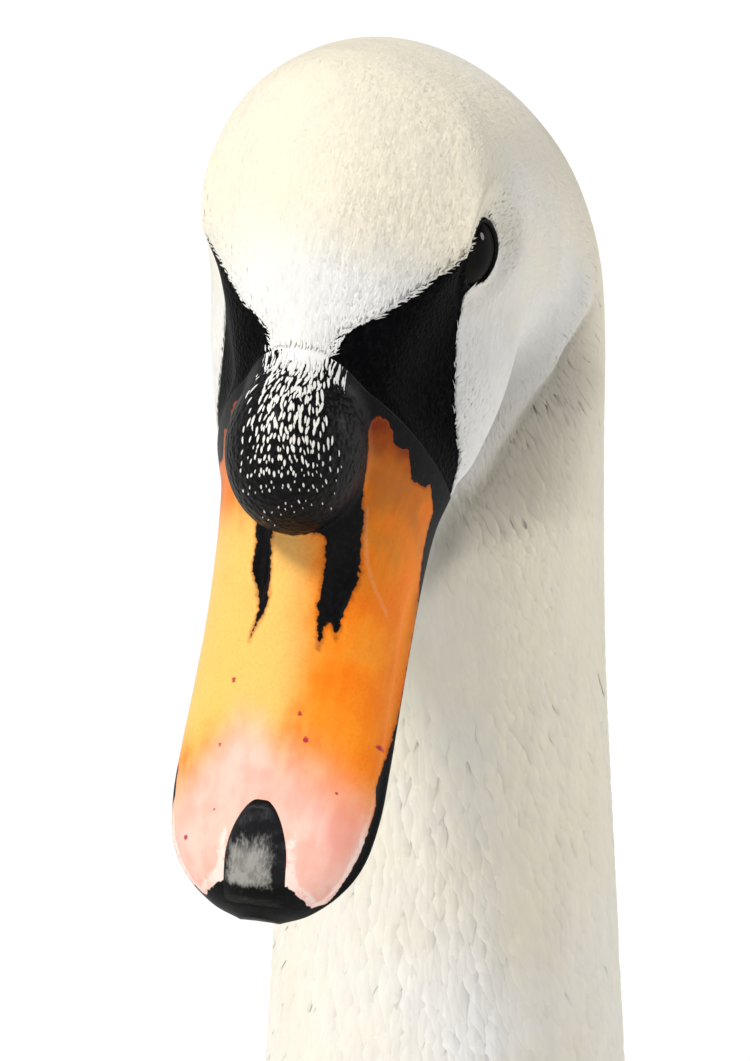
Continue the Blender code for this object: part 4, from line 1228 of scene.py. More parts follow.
def build_skin(skin_material, leg_material):
    """One skin for head, neck, trunk, tail, wings and legs."""
    finishes = [skin_material, leg_material]
    whole = body_skin(finishes)
    for side in (1, -1):
        # The thigh lies under its feathers, and its lower end is rounded over the hock.
        rows = stations(limb(THIGH_TOP, HOCK, THIGH_SHAPE), 60)
        row = np.arange(60)
        rows[:, 3:5] -= size_at(row, (0, 36, 52, 59), (5, 4, 1.2, 1.2))[:, None]
        rows[:, 3:5] *= np.sqrt(1 - (np.maximum(row - 54, 0) / 5.3) ** 2)[:, None]
        thigh = tube("thigh", level_rings(rows, 60, side), finishes)
        for piece in (thigh, leg(side, finishes)):
            union = whole.modifiers.new("join", "BOOLEAN")
            union.operation, union.solver, union.object = "UNION", "MANIFOLD", piece
            apply_modifiers(whole)
            bpy.data.objects.remove(piece)
    join(whole, [wing_core(side, finishes) for side in (1, -1)])
    whole.name = "skin"
    mesh = whole.data
    mesh.materials.clear()
    for finish in finishes:
        mesh.materials.append(finish)
    heights = np.empty(len(mesh.polygons) * 3)
    mesh.polygons.foreach_get("center", heights)
    mesh.polygons.foreach_set("material_index", (heights[2::3] < HOCK[2] + LEG_SKIN_RISE).astype(np.int32))
    mesh.shade_smooth()
    paint_skin(mesh)
    leg_nodes = [f"{node}_{side}" for node in LEG_NODES for side in ("left", "right")]
    return settle(whole, "plumage", *FEATHERED_NODES, *leg_nodes)


BODY = Bed(coat_surface, TAIL_END, BILL_END, lie=-1)
WING = Bed(wing_surface, 0.0, len(WING_OUTLINE) - 1.0, around=(0.0, 1.0), outward=-1)
THIGH = Bed(thigh_surface, 0.0, 1.0)
BILL = Bed(bill_surface, 0.0, 6.0, around=(0.0, math.pi), outward=-1)


# ---------------------------------------------------------------------------------------------- bill, eyes

def build_bill(finish):
    """Upper mandible and knob, with every marking worked out as a distance on the bill itself."""
    stops = np.concatenate((np.linspace(0, 2.7, 130)[:-1], np.linspace(2.7, len(UPPER_BILL) - 1, 170)))
    columns = 161
    a, turn = np.meshgrid(stops, np.linspace(0, math.pi, columns), indexing="ij")
    plain = bill_surface(a, turn, knob=False)
    points = bill_surface(a, turn)
    f, _, x = to_head(plain)
    steps = np.linalg.norm(np.diff(plain, axis=1), axis=-1) / MM
    run = np.concatenate((np.zeros((len(stops), 1)), np.cumsum(steps, axis=1)), axis=1)
    from_ridge = np.abs(run - run[:, columns // 2, None])
    from_edge = np.minimum(run, run[:, -1:] - run)
    knob_reach, reach, _, _ = ray_to_knob(*to_head(points))
    knob = knob_reach - reach + 0.35
    left = x > 0
    edge_black = np.where(left, read_line(LEFT_EDGE, f), read_line(RIGHT_EDGE, f))
    streak = np.maximum(polygon_field(f, x, LEFT_STREAK), polygon_field(f, x, RIGHT_STREAK))
    base = np.where(left, -polygon_field(f, from_ridge, LEFT_ORANGE), -polygon_field(f, from_ridge, RIGHT_ORANGE))
    base = np.where(f < 60, base, OUTSIDE)
    tip = f - 106.4 - 0.035 * x**2
    black = np.maximum.reduce((knob, base, streak, edge_black - from_edge, tip * 0.8))
    marks = sum(np.exp(-(((f - mf) ** 2 + (x - mx) ** 2) / size**2)) for mf, mx, size in RED_MARKS)
    # The sheath darkens along its edges near the base.
    darker_base_edge = (1 - ease(from_edge, 0.5, 4.0)) * (1 - ease(f, 70, 85))
    beside_nail = np.exp(-(((np.abs(x) - 6.2) / 1.1) ** 2)) * ease(f, 97, 101)
    beside_black = np.exp(-(((black + 1.0) / 0.9) ** 2)) * ease(f, 84, 92)
    fields = {
        "black": black, "knob": knob, "marks": marks,
        "pink": ease(f - read_line(PINK_LINE, x), -8, 15),
        # Painted light: yellower over the sunlit side.
        "painted_light_yellow": (1 - ease(x, -2, 9)) * ease(f, 40, 52) * (1 - 0.8 * ease(f, 76, 92)),
        # Painted shade at the base under the knob, and darker edges near the base.
        "brown": 0.6 * (1 - ease(f, 29, 37)) + 0.42 * (1 - ease(f, 36, 62)) + 0.35 * darker_base_edge,
        "flush": 1.3 * np.exp(-(((x - 14.0) / 2.4) ** 2) - ((f - 96.5) / 5.0) ** 2)
        + 0.5 * np.exp(-(((x - 14.0) / 5.0) ** 2) - ((f - 84.0) / 8.0) ** 2),
        "pale": beside_nail + beside_black,
        "down": np.where(f < 36, np.minimum(5.2 - np.abs(x - 1.0), 28.0 - f), OUTSIDE),
        "crease": np.where(left, curve_field(f, from_ridge, PALE_CREASE), INSIDE),
    }
    # The sole closes the ring from the right edge back to the left one, a little hollow as a palate is.
    across = np.linspace(-1, 1, 22)[1:-1]
    sole = points[:, -1:] + (points[:, :1] - points[:, -1:]) * ((across + 1) / 2)[:, None]
    half = np.abs(points[:, :1, 0:1])
    sole = sole + head_step(0.0, 1.0) * (0.09 / MM) * half * (1 - across[:, None] ** 2)
    below = {"black": INSIDE, "crease": INSIDE, "down": OUTSIDE}
    for key, value in fields.items():
        fields[key] = np.concatenate((value, np.full(sole.shape[:2], below.get(key, 0.0))), axis=1)
    rings = np.concatenate((points, sole), axis=1)
    # Two rings lead back under the skin, so that the sheath comes out of the face.
    middle = rings[0].mean(axis=0)
    ahead = head_step(1.0, 0.3)
    tucked = [middle + (rings[0] - middle) * size - ahead * pull for size, pull in ((0.86, 4.0), (0.965, 1.2))]
    rings = np.concatenate((tucked, rings))
    fields = {key: np.concatenate((v[:1], v[:1], v)) for key, v in fields.items()}
    bill = tube("bill_and_knob", rings, [finish], fields)
    return settle(bill, "bill_skin", "bill_upper", "bill_knob")


# The rows of the upper mandible that the nail runs from and to.
NAIL_ROWS = (7.15, 10.55)


def build_nail(finish):
    """The nail: a shield raised off the tip inside a parabola, rounded along its edge, its foot inside the bill."""
    t, c = np.meshgrid(np.linspace(0, 1, 90), np.linspace(-1, 1, 71), indexing="ij")
    s = NAIL_ROWS[0] + (NAIL_ROWS[1] - NAIL_ROWS[0]) * t
    half = 5.8 * (1 - (1 - np.clip((0.012 + t) / 0.46, 0, 1)) ** 2.2) ** 0.62
    row = read_sections(BILL_ROWS, s)
    limit = row[..., 4] / MM * 0.95
    x = np.clip(half * c, -limit, limit)
    # The place round the arch whose x is the wanted one: cos(b) = (x / half width) ^ (squareness / 2).
    cosine = np.sign(x) * np.abs(x * MM / row[..., 4]) ** (row[..., 5] / 2)
    b = np.arccos(np.clip(cosine, -1, 1))
    bed, normal = bill_surface(s, b), normal_across(bill_surface, s, b, 1e-3)
    round_off = (1 - np.abs(c) ** 5) ** 0.5 * np.minimum(1, (t / 0.06) ** 0.5)
    rise = 0.25 + 0.75 * round_off + 0.25 * np.exp(-((c / 0.55) ** 2)) * ease(t, 0.15, 0.5)
    outer = bed + normal * ((rise * round_off * (1 - ease(t, 0.72, 0.97))) - 0.25)[..., None] * MM
    inner = bed - normal * 0.9 * MM
    # Painted sheen: where the nail's face turns grey.
    painted_sheen_and_wear = (1 - ease(np.abs(c + 0.12), 0.35, 0.95)) * ease(t, 0.16, 0.40) * (1 - ease(t, 0.60, 0.70))
    # Painted light: the nail's upper face, made a little lighter than the shaded front of the tip.
    face = (1 - ease(t, 0.55, 0.68)) * ease(t, 0.01, 0.07)
    return settle(slab("nail", outer, inner, [finish], {"painted_sheen_and_wear": painted_sheen_and_wear, "face": face}), "horn", "bill_nail")


def build_lower_bill(finish):
    """The lower mandible: a shallow keel, which is an arch upside down, closed by a flat top."""
    rows = read_sections(head_rows(LOWER_BILL), np.linspace(0, len(LOWER_BILL) - 1, 90))
    keel = arch(rows[:, None, [2, 3, 0, 1, 4, 5]], np.linspace(0, math.pi, 60))
    share = np.linspace(0, 1, 16)[1:-1]
    top = keel[:, -1:] + (keel[:, :1] - keel[:, -1:]) * share[:, None]
    return settle(tube("lower_mandible", np.concatenate((keel, top), axis=1), [finish]), "horn", "bill_lower")


def eyeball(axes):
    """The ball's points (f, u, x): radius * (cos(angle) along the axis + sin(angle) off it), and their angles."""
    long, across, out = axes
    polar, turn = np.meshgrid(
        np.linspace(0.02, math.pi - 0.02, 60), np.linspace(0, TURN, 72, endpoint=False), indexing="ij")
    off_axis = np.cos(turn)[..., None] * long + np.sin(turn)[..., None] * across
    outward = np.sin(polar)[..., None] * off_axis + np.cos(polar)[..., None] * out
    return np.array(EYE_BALL) + outward * EYE_RADIUS, np.degrees(polar)


def eyelids(axes):
    """A thin ring of lid: round the opening's oval, a small circle across the ball and out from it."""
    long, across, out = axes
    around, circle = np.meshgrid(
        np.linspace(0, TURN, 120, endpoint=False), np.linspace(0, TURN, 16, endpoint=False), indexing="ij")
    thick = 0.42 + 0.10 * np.cos(around - 0.6)
    size = 1.01 + 0.06 * np.cos(circle) * thick
    p = np.cos(around) * EYE_OPENING[0] / EYE_RADIUS * size
    q = np.sin(around) * EYE_OPENING[1] / EYE_RADIUS * size
    outward = p[..., None] * long + q[..., None] * across + np.sqrt(1 - p**2 - q**2)[..., None] * out
    return np.array(EYE_BALL) + outward * (EYE_RADIUS + (0.12 + thick * np.sin(circle)))[..., None]


def build_eyes(eye_material, lid_material):
    """Each eye: a ball whose pattern is an angle from its axis, and a thin ring of lid round its opening."""
    ball, angle = eyeball(eye_axes())
    ring = eyelids(eye_axes())
    closed = np.pad(np.arange(ring[..., 0].size).reshape(ring.shape[:2]), ((0, 1), (0, 1)), mode="wrap")
    for side, name in ((1, "left"), (-1, "right")):
        eye = tube(f"eyeball_{name}", head_points(ball, side), [eye_material], {"angle": angle})
        settle(eye, "eyeball", f"eye_{name}")
        lids = add_mesh(f"eyelids_{name}", head_points(ring, side), [quads(closed)], [lid_material])
        face_out(lids)
        settle(lids, "eyeball")


def build_claws(finish):
    """A claw at every toe's end."""
    for side, name in ((1, "left"), (-1, "right")):
        for toe, (angle, length) in enumerate(zip(TOE_ANGLES, TOE_LENGTHS)):
            start = np.array(TOE_JOINT) + toe_step(angle) * (length + 0.4 * MM)
            claw(f"claw_{name}_{toe + 1}", start, angle, 3.4 * MM, side, finish)
        start = np.array((TOE_JOINT[0] - 0.006, TOE_JOINT[1] + 0.0314))
        claw(f"claw_{name}_hind", start, 180.0, 2.0 * MM, side, finish, 0.0115)


def claw(node, start, angle, radius, side, finish, height=None):
    """A curved cone: rings of radius * (1 - 0.82 * share^1.4) that sink as they run out, and 1 mm longer at the root
    so that it grows out of its toe. Without a height it lies on the floor."""
    share = np.linspace(-0.09, 1.0, 26)[:, None]
    reach = np.maximum(share, 0)
    turn = np.linspace(0, TURN, 20, endpoint=False)
    size = radius * (1 - 0.82 * reach**1.4)
    if height is None:
        base = radius + 0.5 * MM
        centre = base - (base - size - 0.5 * MM) * reach**1.6
    else:
        centre = height - 4 * MM * reach**1.6
    ahead = toe_step(angle)
    wide = size * 0.8 * np.cos(turn)
    x = start[0] + ahead[0] * CLAW_LENGTH * share - ahead[1] * wide
    y = start[1] + SHIFT + ahead[1] * CLAW_LENGTH * share + ahead[0] * wide
    obj = tube(node + "_horn", np.dstack((side * x, y, centre + size * np.sin(turn))), [finish])
    settle(obj, "horn", node)


# ---------------------------------------------------------------------------------------------- feathers

def lock_template(*middles):
    """A thin closed lock: a point at each end and triangles (left, ridge, right) between them. A template gives
    its points' shares along, places across (-1 to 1), lifts (1 on the ridge) and widths, and its triangles."""
    count = len(middles)
    t = np.concatenate(((0.0,), np.repeat(middles, 3), (1.0,)))
    c = np.array((0.0, *(-1.0, 0.0, 1.0) * count, 0.0))
    e = np.array((0.0, *(0.0, 1.0, 0.0) * count, 0.3))
    last = 1 + 3 * count
    faces = [(0, 2, 1), (0, 3, 2), (0, 1, 3)]
    for k in range(count - 1):
        a = 1 + 3 * k
        for i, j in ((0, 1), (1, 2), (2, 0)):
            faces += [(a + i, a + j, a + 3 + j), (a + i, a + 3 + j, a + 3 + i)]
    a = last - 3
    faces += [(last, a, a + 1), (last, a + 1, a + 2), (last, a + 2, a)]
    return t, c, e, lock_outline(t), np.array(faces)


def vane_template(rows, columns, outline):
    """A closed vane within an outline: a domed upper grid and a lower grid that share their border."""
    share = np.linspace(0, 1, rows) ** 0.9
    t, c = np.meshgrid(share, np.linspace(-1, 1, columns), indexing="ij")
    upper = np.arange(rows * columns).reshape(rows, columns)
    inner = np.zeros((rows, columns), bool)
    inner[1:-1, 1:-1] = True
    lower = upper.copy()
    lower[inner] = rows * columns + np.arange(inner.sum())
    crown = 1 - c**2
    t = np.concatenate((t.ravel(), t[inner]))
    e = np.concatenate((crown.ravel(), crown[inner] * 0.2 - 0.35))
    c = np.concatenate((c.ravel(), c[inner]))
    both = np.vstack((quads(upper), quads(lower)[:, ::-1]))
    return t, c, e, outline(t), np.vstack((both[:, [0, 1, 2]], both[:, [0, 2, 3]]))


def lock_outline(t):
    """How wide a lock is along its length."""
    return np.sin(math.pi * np.clip(0.10 + 0.86 * t, 0, 1)) ** 0.8


def vane_outline(t):
    """How wide a vane is along its length: a narrow foot and a round tip."""
    tip = np.sqrt(np.clip(1 - (np.maximum(t - 0.62, 0) / 0.38) ** 2, 0, 1))
    return (0.40 + 0.60 * ease(t, 0.0, 0.45)) * np.maximum(tip, 0.03)


def blade_outline(t):
    """A long quill's vane: even along most of its length, with a rounded point."""
    tip = np.clip(1 - (np.maximum(t - 0.80, 0) / 0.20) ** 2.2, 0, 1) ** 0.6
    return (0.55 + 0.45 * ease(t, 0.0, 0.30)) * np.maximum(tip, 0.04)


def plant(name, bed, roots, template, sizes, finish, seed, slant=0.10, mirror=False, swing=0.0, rounding=0.35,
          roll=0.15, nodes=()):
    """Feathers as one piece. Each runs from its root along the lie of its bed; every point is the bed's own point at
    that distance and to that side, plus the bed's normal times a height that rises from root to tip.

    sizes gives, for every root: length, width, depth of the root, height of the tip and thickness, in metres.
    The shading follows the bed, rounded a little across each feather, as down blends one feather into the next.
    """
    t, c, e, wide, faces = template
    a0, b0 = (each[:, None] for each in roots)
    length, width, depth, tip, thick = (np.broadcast_to(v, len(a0))[:, None] for v in sizes)
    scatter = np.random.default_rng(seed)
    lean = scatter.normal(0, slant, a0.shape) + np.broadcast_to(swing, len(a0))[:, None]
    rolled = roll * scatter.normal(0, 1, a0.shape).clip(-1.8, 1.8)
    length = length * scatter.uniform(0.84, 1.12, a0.shape)
    length = np.minimum(length, bed.left_over(a0) * scatter.uniform(0.86, 0.985, a0.shape))
    tone = scatter.uniform(0, 1, a0.shape)
    _, _, _, per_side = bed.frame(a0, b0)
    reach = length * t
    aside = c * width / 2 * wide
    bend = lean * reach * (0.6 + 0.4 * t)
    b = b0 + (aside + bend) / np.maximum(per_side, 1e-4)
    a = bed.onward(a0 + 0 * t, b0 + 0 * t, reach)
    points, normals, _, _ = bed.frame(a, b)
    across = bed.place(a, b + 1e-3) - bed.place(a, b - 1e-3)
    across /= np.maximum(np.linalg.norm(across, axis=-1, keepdims=True), 1e-12)
    shading = normals + across * (rounding * c * (0.4 + 0.6 * t) + 0.35 * rolled)[..., None]
    height = -depth + (depth + tip) * (1 - (1 - t) ** 3.0) + thick * (e * wide + rolled * c)
    points = points + normals * height[..., None]
    # On the flat map each feather is a small patch at its root's own place on the bed.
    low, high = bed.around
    patch_u = 0.03 + 0.94 * (((b0 - low) % (high - low)) / (high - low)) + 0.0015 * c
    patch_v = 0.03 + 0.94 * ((a0 - bed.start) / (bed.end - bed.start)) + 0.003 * (t - 0.5)
    if mirror:
        points, shading = copy_mirrored(points), copy_mirrored(shading)
    if mirror != (bed.outward * bed.lie > 0):
        faces = faces[:, ::-1]
    whole = (faces[None] + (np.arange(len(a0)) * len(t))[:, None, None]).reshape(-1, 3)
    fields = {
        "along": t + 0 * reach, "reach": reach, "span": aside, "tone": tone + 0 * reach,
        "cream": cream_share(points), "painted_shade": painted_shade_share(points),
    }
    patches = np.stack((patch_u, patch_v), axis=-1)
    settle(add_mesh(name, points, [whole], [finish], fields, patches, shading=unit(shading)), "plumage", *nodes)


def keep(roots, chosen):
    """The roots that a mask keeps."""
    return roots[0][chosen], roots[1][chosen]


def plant_parts(name, parts, bed, roots, template, sizes, finish, seed, **ways):
    """Feathers dealt out over several pieces, so that none grows too large."""
    for k in range(parts):
        chosen = np.arange(len(roots[0])) % parts == k
        plant(f"{name}_{k + 1}", bed, keep(roots, chosen), template, sizes[:, chosen], finish, seed + k, **ways)


def crease_trim(points):
    """How much shorter feathers are just over the crease, so that they end where it begins."""
    f, u, _ = to_head(points)
    above, along = crease_place(f, u)
    return 1 - 0.65 * ease(above, -3, 0) * (1 - ease(above, 2, 7)) * ease(along, 10, 24) * (1 - ease(along, 50, 70))


def plant_head(finish):
    """Short, hair-like feathers over the face and crown, none on the lores, shortest beside them."""
    def density(a, b, points):
        """How thickly feathers stand: none on the lores, most beside them."""
        lore = lore_field(body_surface(a, b, knob=False))
        return (1 - ease(lore, -0.2, 0.3)) * (1 + 0.8 * ease(lore, -6, 0)) + 1e-6

    roots = BODY.sow(HEAD_START - 1.0, BILL_END - 0.1, 60000, 11, density)
    lore = lore_field(body_surface(*roots, knob=False))
    roots, lore = keep(roots, lore < 0.1), lore[lore < 0.1]
    near = ease(lore, -5, -0.3)
    short = crease_trim(BODY.place(*roots))
    back = 1 - ease(roots[0], HEAD_START - 1.0, HEAD_START + 1.5)
    sizes = np.stack((
        (5.0 - 3.3 * near + 3.0 * back) * short * MM, (0.92 - 0.42 * near + 0.8 * back) * MM,
        coat_depth(roots[0], lore) - 0.05 * MM, (0.18 - 0.10 * near) * MM, (0.15 - 0.06 * near) * MM,
    ))
    plant_parts("head_feathers", 3, BODY, roots, lock_template(0.45), sizes, finish, 21, slant=0.15, rounding=0.6,
                roll=0.32)


def plant_fringe(finish):
    """Ragged white tips that slant out over the black along its borders."""
    scatter = np.random.default_rng(5)
    roots = BODY.sow(22.0, BILL_END - 0.02, 22000, 12)
    lore = lore_field(body_surface(*roots, knob=False))
    roots = keep(roots, (lore > -0.5) & (lore < 0.35))
    length, width = (scatter.uniform(*span, len(roots[0])) * MM for span in ((0.6, 1.5), (0.28, 0.50)))
    sizes = (length, width, 0.12 * MM, 0.14 * MM, 0.12 * MM)
    _, u, x = to_head(body_surface(*roots, knob=False))
    swing = np.sign(x) * np.where(lore_degrees(u, x) < 62, 0.7, -0.35)
    plant("lore_fringe", BODY, roots, lock_template(0.45), sizes, finish, 31, slant=0.45, swing=swing)


def knob_degrees(f, u):
    """The angle round the knob's middle in the side view, from straight up towards the bill's tip."""
    return np.degrees(np.arctan2(f - KNOB_CENTRE[0], u - KNOB_CENTRE[1]))


def plant_flecks(finish):
    """White feather stubs that run down from the forehead's V over the knob: long and close at the top, then short
    and scattered. Their number falls with the angle round the knob's middle and with the distance from its ridge."""
    def density(a, b, points):
        """How thickly the flecks stand: a falling number round the knob, inside a band beside its ridge."""
        f, u, x = to_head(points)
        round_knob = knob_degrees(f, u)
        down = np.interp(round_knob, (-60, -22, 0, 20, 40, 55, 78, 90), (1.0, 1.0, 0.85, 0.70, 0.50, 0.25, 0.07, 0.0))
        middle = 0.6 + 1.2 * ease(round_knob, -40, 10)
        wide = 5.0 + 2.2 * ease(round_knob, -40, 35)
        return down * np.exp(-(np.abs((x - middle) / wide) ** 4)) + 1e-7

    scatter = np.random.default_rng(9)
    for name, bed, start, end, around, count in (
        ("knob_flecks", BILL, 0.02, 3.1, (0.6, 2.54), 330),
        ("brow_flecks", BODY, BILL_END - 1.35, BILL_END - 0.02, (-0.45, 0.45), 120),
    ):
        roots = bed.sow(start, end, count, 33, density, around)
        f, u, _ = to_head(bed.place(*roots))
        round_knob = knob_degrees(f, u)
        size = scatter.uniform(0.60, 1.35, count)
        length = size_at(round_knob, (-60, -25, 0, 20, 40, 70), (2.2, 2.0, 1.5, 1.1, 0.7, 0.45)) * size
        width = size_at(round_knob, (-60, 0, 25, 45, 70), (0.44, 0.42, 0.38, 0.34, 0.26)) * size
        sizes = (length, width, 0.0, 0.15 * MM, 0.16 * MM)
        plant(name, bed, roots, lock_template(0.20, 0.55, 0.85), sizes, finish, 34, slant=0.16)


def plant_neck(finish):
    """Soft narrow feathers down the neck, longer towards its foot."""
    knots = (8.0, 10.5, 13.0, 15.4, 16.2)
    for part, (start, end, count) in enumerate((
        (15.4, HEAD_START - 0.3, 16000), (13.4, 15.5, 8000), (10.8, 13.6, 7500), (8.4, 11.0, 7500),
    )):
        roots = BODY.sow(start, end, count, 13 + part)
        s = roots[0]
        sizes = (
            size_at(s, knots, (26.0, 21.0, 15.5, 11.5, 8.0)) * crease_trim(BODY.place(*roots)),
            size_at(s, knots, (8.5, 5.8, 3.4, 1.0, 0.65)), coat_depth(s) - 0.05 * MM,
            size_at(s, knots, (0.7, 0.5, 0.40, 0.25, 0.18)), size_at(s, knots, (0.40, 0.32, 0.25, 0.20, 0.16)),
        )
        plant(f"neck_feathers_{part + 1}", BODY, roots, lock_template(0.28, 0.70), sizes, finish, 41 + part, slant=0.11,
              swing=-0.40 * np.sin(roots[1]), rounding=0.6, roll=0.12)


def under_wing(a, b):
    """1 where the folded wing covers the trunk, so that no feathers are planted there."""
    turn = np.degrees(np.abs((b + math.pi) % TURN - math.pi))
    section = a + 2.0
    outline = np.array(WING_OUTLINE)[::-1]
    upper, lower = (np.interp(section, outline[:, 0], outline[:, k]) for k in (1, 2))
    return (section < 7.7) & (turn > upper + 15) & (turn < lower - 14) & (a > 0.2)


def plant_body(finish):
    """Contour feathers of the breast, back and belly: small round vanes, scale over scale."""
    roots = BODY.sow(-0.6, 9.0, 5200, 14)
    roots = keep(roots, ~under_wing(*roots))
    s = roots[0]
    knots = (-0.6, 0.5, 3.0, 6.0, 7.5, 9.0)
    sizes = np.stack((
        size_at(s, knots, (50.0, 56.0, 54.0, 48.0, 43.0, 36.0)),
        size_at(s, knots, (21.0, 24.0, 25.0, 22.0, 19.0, 15.0)), coat_depth(s) - 0.4 * MM,
        size_at(s, knots, (0.5, 1.2, 1.6, 1.4, 1.2, 0.8)), size_at(s, knots, (0.4, 0.5, 0.5, 0.5, 0.45, 0.4)),
    ))
    plant_parts("body_feathers", 2, BODY, roots, vane_template(7, 5, vane_outline), sizes, finish, 51, slant=0.07)


def rows_on(bed, start, end, gap, pitch, low=0.04, high=0.96):
    """Roots in staggered rows: rows a gap apart along the bed, and each row's feathers a pitch apart across it."""
    lengths = bed.run.mean(axis=1)
    first, last = np.interp((start, end), bed.a, lengths)
    stops = np.interp(np.arange(first, last, gap), lengths, bed.a)
    share = np.linspace(low, high, 60)
    a, b = [], []
    for k, at in enumerate(stops):
        points = bed.place(np.full_like(share, at), share)
        wide = np.linalg.norm(np.diff(points, axis=0), axis=1).sum()
        count = max(2, int(round(wide / pitch)))
        a.append(np.full(count, at))
        b.append(low + (high - low) * (np.arange(count) + (0.75 if k % 2 else 0.25)) / count)
    return np.concatenate(a), np.concatenate(b)


# The wing's tracts: name, first and last row of the wing's outline, metres from row to row and from feather to
# feather, length and width in metres, depth of the root, height of the tip and thickness in mm, grid and outline.
WING_TRACTS = (
    ("small_coverts", 0.02, 2.6, 0.0105, 0.0135, 0.030, 0.0175, 2.5, 0.5, 0.5, (6, 5, vane_outline)),
    ("coverts", 2.4, 4.7, 0.018, 0.0200, 0.050, 0.026, 3.0, 0.7, 0.6, (7, 5, vane_outline)),
    ("great_coverts", 4.5, 6.3, 0.030, 0.0250, 0.094, 0.033, 3.5, 0.6, 0.8, (12, 7, vane_outline)),
    ("flight_feathers", 5.9, 8.2, 0.044, 0.0190, 0.150, 0.034, 4.0, -0.3, 1.0, (20, 7, blade_outline)),
    ("long_quills", 8.2, 9.5, 0.040, 0.0110, 0.135, 0.024, 3.0, -0.6, 1.0, (20, 7, blade_outline)),
)


def plant_wings(finish):
    """Folded wings: small coverts at the shoulder, larger ones behind, then tertials, secondaries and primaries."""
    for mirror, name in ((False, "left"), (True, "right")):
        stood_for = {"coverts": (f"wing_{name}",), "long_quills": (f"primaries_{name}",)}
        for k, (tract, start, end, gap, pitch, length, width, depth, tip, thick, vane) in enumerate(WING_TRACTS):
            roots = rows_on(WING, start, end, gap, pitch)
            sizes = (length, width, depth * MM, tip * MM, thick * MM)
            plant(f"{tract}_{name}", WING, roots, vane_template(*vane), sizes, finish, 61 + k, slant=0.035,
                  mirror=mirror, rounding=0.25, nodes=stood_for.get(tract, ()))


def plant_tail(finish):
    """Tail feathers in a wedge, and the coverts over and under their roots."""
    around = np.concatenate((np.linspace(-1.45, 1.45, 13), np.linspace(-1.2, 1.2, 10)))
    starts = np.repeat((0.1, 0.9), (13, 10))
    sizes = (0.185 - 0.012 * np.abs(around), 0.034, 3.0 * MM, 0.4 * MM, 1.4 * MM)
    vane = vane_template(22, 7, blade_outline)
    plant("tail_feathers", BODY, (starts, around % TURN), vane, sizes, finish, 71, slant=0.02)
    roots = BODY.sow(-2.2, 0.6, 170, 72)
    sizes = (0.062, 0.026, 2.5 * MM, 0.5 * MM, 1.1 * MM)
    plant("tail_coverts", BODY, roots, vane_template(8, 5, vane_outline), sizes, finish, 73, slant=0.06)


def plant_thighs(finish):
    """Soft feathers down the thighs to the hock."""
    roots = THIGH.sow(0.12, 0.90, 620, 16)
    t = roots[0]
    sizes = (
        size_at(t, (0, 0.6, 0.9), (30.0, 20.0, 9.5)), size_at(t, (0, 0.6, 0.9), (14.0, 9.5, 4.5)),
        size_at(t, (0, 0.6, 1), (4.0, 3.0, 1.4)), size_at(t, (0, 0.6, 1), (0.8, 0.7, 0.5)), 0.5 * MM,
    )
    vane = vane_template(6, 5, vane_outline)
    for mirror, name in ((False, "left"), (True, "right")):
        plant(f"thigh_feathers_{name}", THIGH, roots, vane, sizes, finish, 81, mirror=mirror)


# ---------------------------------------------------------------------------------------------- stage

# Where the camera stands: degrees round from straight ahead, degrees up, and metres away. Its sensor is in mm.
VIEW_AZIMUTH, VIEW_ELEVATION = math.radians(17.3), math.radians(22.2)
VIEW_DISTANCE = 1.8
SENSOR = 36
# What the camera looks at, from the head's origin, and the height that its picture takes in there.
VIEW_ASIDE, VIEW_BELOW = 0.0054, 0.0478
VIEW_HEIGHT = 0.18356
FLOOR_REACH = 60.0


def build_camera():
    """A long lens at the head's front left, looking a little down."""
    back = Vector((
        math.sin(VIEW_AZIMUTH) * math.cos(VIEW_ELEVATION), -math.cos(VIEW_AZIMUTH) * math.cos(VIEW_ELEVATION),
        math.sin(VIEW_ELEVATION),
    ))
    right = Vector((math.cos(VIEW_AZIMUTH), math.sin(VIEW_AZIMUTH), 0))
    up = back.cross(right)
    target = Vector((0, HEAD_Y, HEAD_Z)) + right * VIEW_ASIDE - up * VIEW_BELOW
    data = bpy.data.cameras.new("camera")
    data.sensor_fit = "VERTICAL"
    data.sensor_height = data.sensor_width = SENSOR
    data.lens = SENSOR * VIEW_DISTANCE / VIEW_HEIGHT
    camera = bpy.data.objects.new("camera", data)
    camera.location = target + back * VIEW_DISTANCE
    camera.rotation_euler = (-back).to_track_quat("-Z", "Y").to_euler()
    bpy.context.scene.collection.objects.link(camera)
    bpy.context.scene.camera = camera


def add_sun(name, energy, degrees, towards, colour=(1.0, 1.0, 1.0)):
    """A sun of some width in degrees, standing in a direction from the swan."""
    light = bpy.data.lights.new(name, "SUN")
    light.energy, light.angle, light.color = energy, math.radians(degrees), colour
    lamp = bpy.data.objects.new(name, light)
    lamp.rotation_euler = Vector(towards).to_track_quat("Z", "Y").to_euler()
    bpy.context.scene.collection.objects.link(lamp)


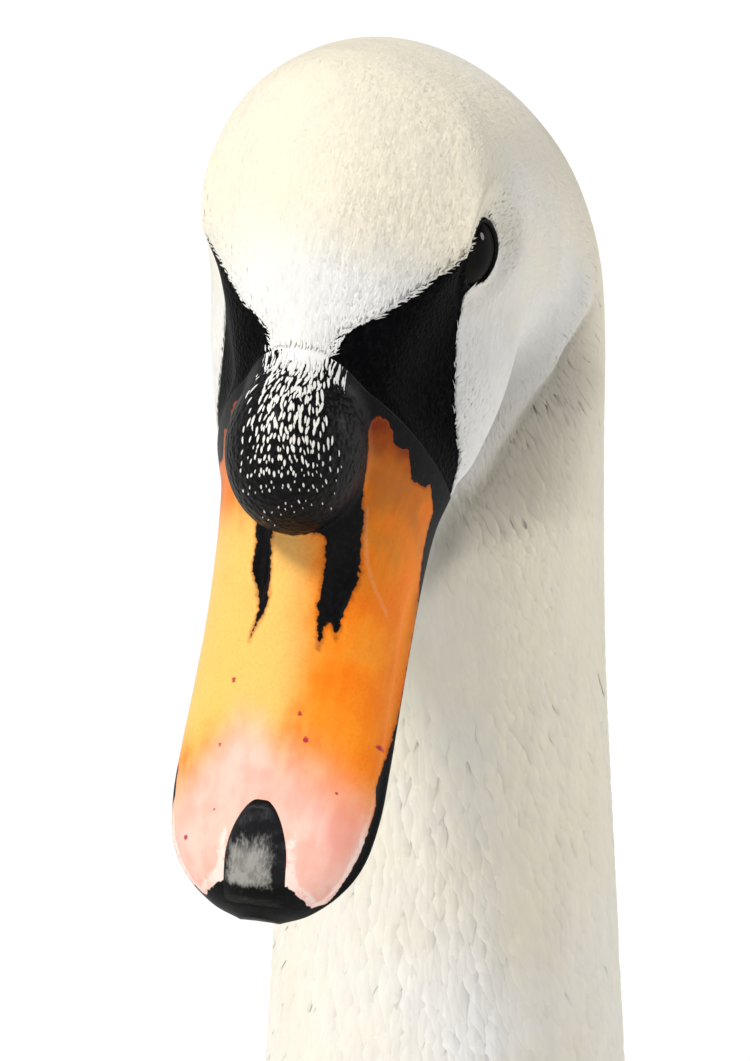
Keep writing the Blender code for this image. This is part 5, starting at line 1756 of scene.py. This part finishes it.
def build_stage():
    """A plain near-white floor under a sky that is white low down and dimmer above, with a broad warm key and a low,
    weak fill from behind the left side."""
    floor_finish = Finish("pale_floor", Roughness=0.9, Specular_IOR_Level=0.05)
    grain = floor_finish.noise(3.0, detail=2.0)
    floor_finish.set(Base_Color=floor_finish.blend(grain, (0.895, 0.895, 0.895), (0.905, 0.905, 0.905)))
    corners = np.array([(-1, -1, 0), (1, -1, 0), (1, 1, 0), (-1, 1, 0)]) * FLOOR_REACH
    floor = add_mesh("floor", corners, [np.array([[0, 1, 2, 3]])], [floor_finish.material], smooth=False)
    world = bpy.data.worlds.new("studio_sky")
    world.use_nodes = True
    tree = world.node_tree
    sky = tree.nodes["Background"]
    parts = tree.nodes.new("ShaderNodeSeparateXYZ")
    fade = tree.nodes.new("ShaderNodeMapRange")
    mix = tree.nodes.new("ShaderNodeMix")
    mix.data_type = "RGBA"
    tree.links.new(tree.nodes.new("ShaderNodeTexCoord").outputs["Generated"], parts.inputs[0])
    tree.links.new(parts.outputs["Z"], fade.inputs["Value"])
    fade.inputs["From Min"].default_value, fade.inputs["From Max"].default_value = 0.04, 0.30
    tree.links.new(fade.outputs[0], mix.inputs[0])
    mix.inputs[6].default_value = (1.0, 1.0, 1.0, 1.0)
    mix.inputs[7].default_value = (0.30, 0.315, 0.34, 1.0)
    tree.links.new(mix.outputs[2], sky.inputs["Color"])
    bpy.context.scene.world = world
    add_sun("key", 3.1, 12.0, (-0.35, -0.45, 0.82), (1.0, 0.975, 0.92))
    add_sun("fill", 0.6, 11.0, (0.82, 0.54, 0.16))
    bpy.context.scene.view_settings.view_transform = "Standard"


def main():
    """The whole dressed swan, its stage and its camera."""
    fine = plumage_finish("fine_plumage", 0.0)
    broad = plumage_finish("broad_plumage", 1.0)
    build_skin(skin_finish(), leg_finish())
    build_bill(bill_finish())
    build_nail(nail_finish())
    horn = horn_finish()
    build_lower_bill(horn)
    build_claws(horn)
    build_eyes(eye_finish(), lid_finish())
    plant_head(fine)
    plant_fringe(fine)
    plant_flecks(fine)
    plant_neck(fine)
    plant_body(broad)
    plant_wings(broad)
    plant_tail(broad)
    plant_thighs(broad)
    build_stage()
    build_camera()


main()
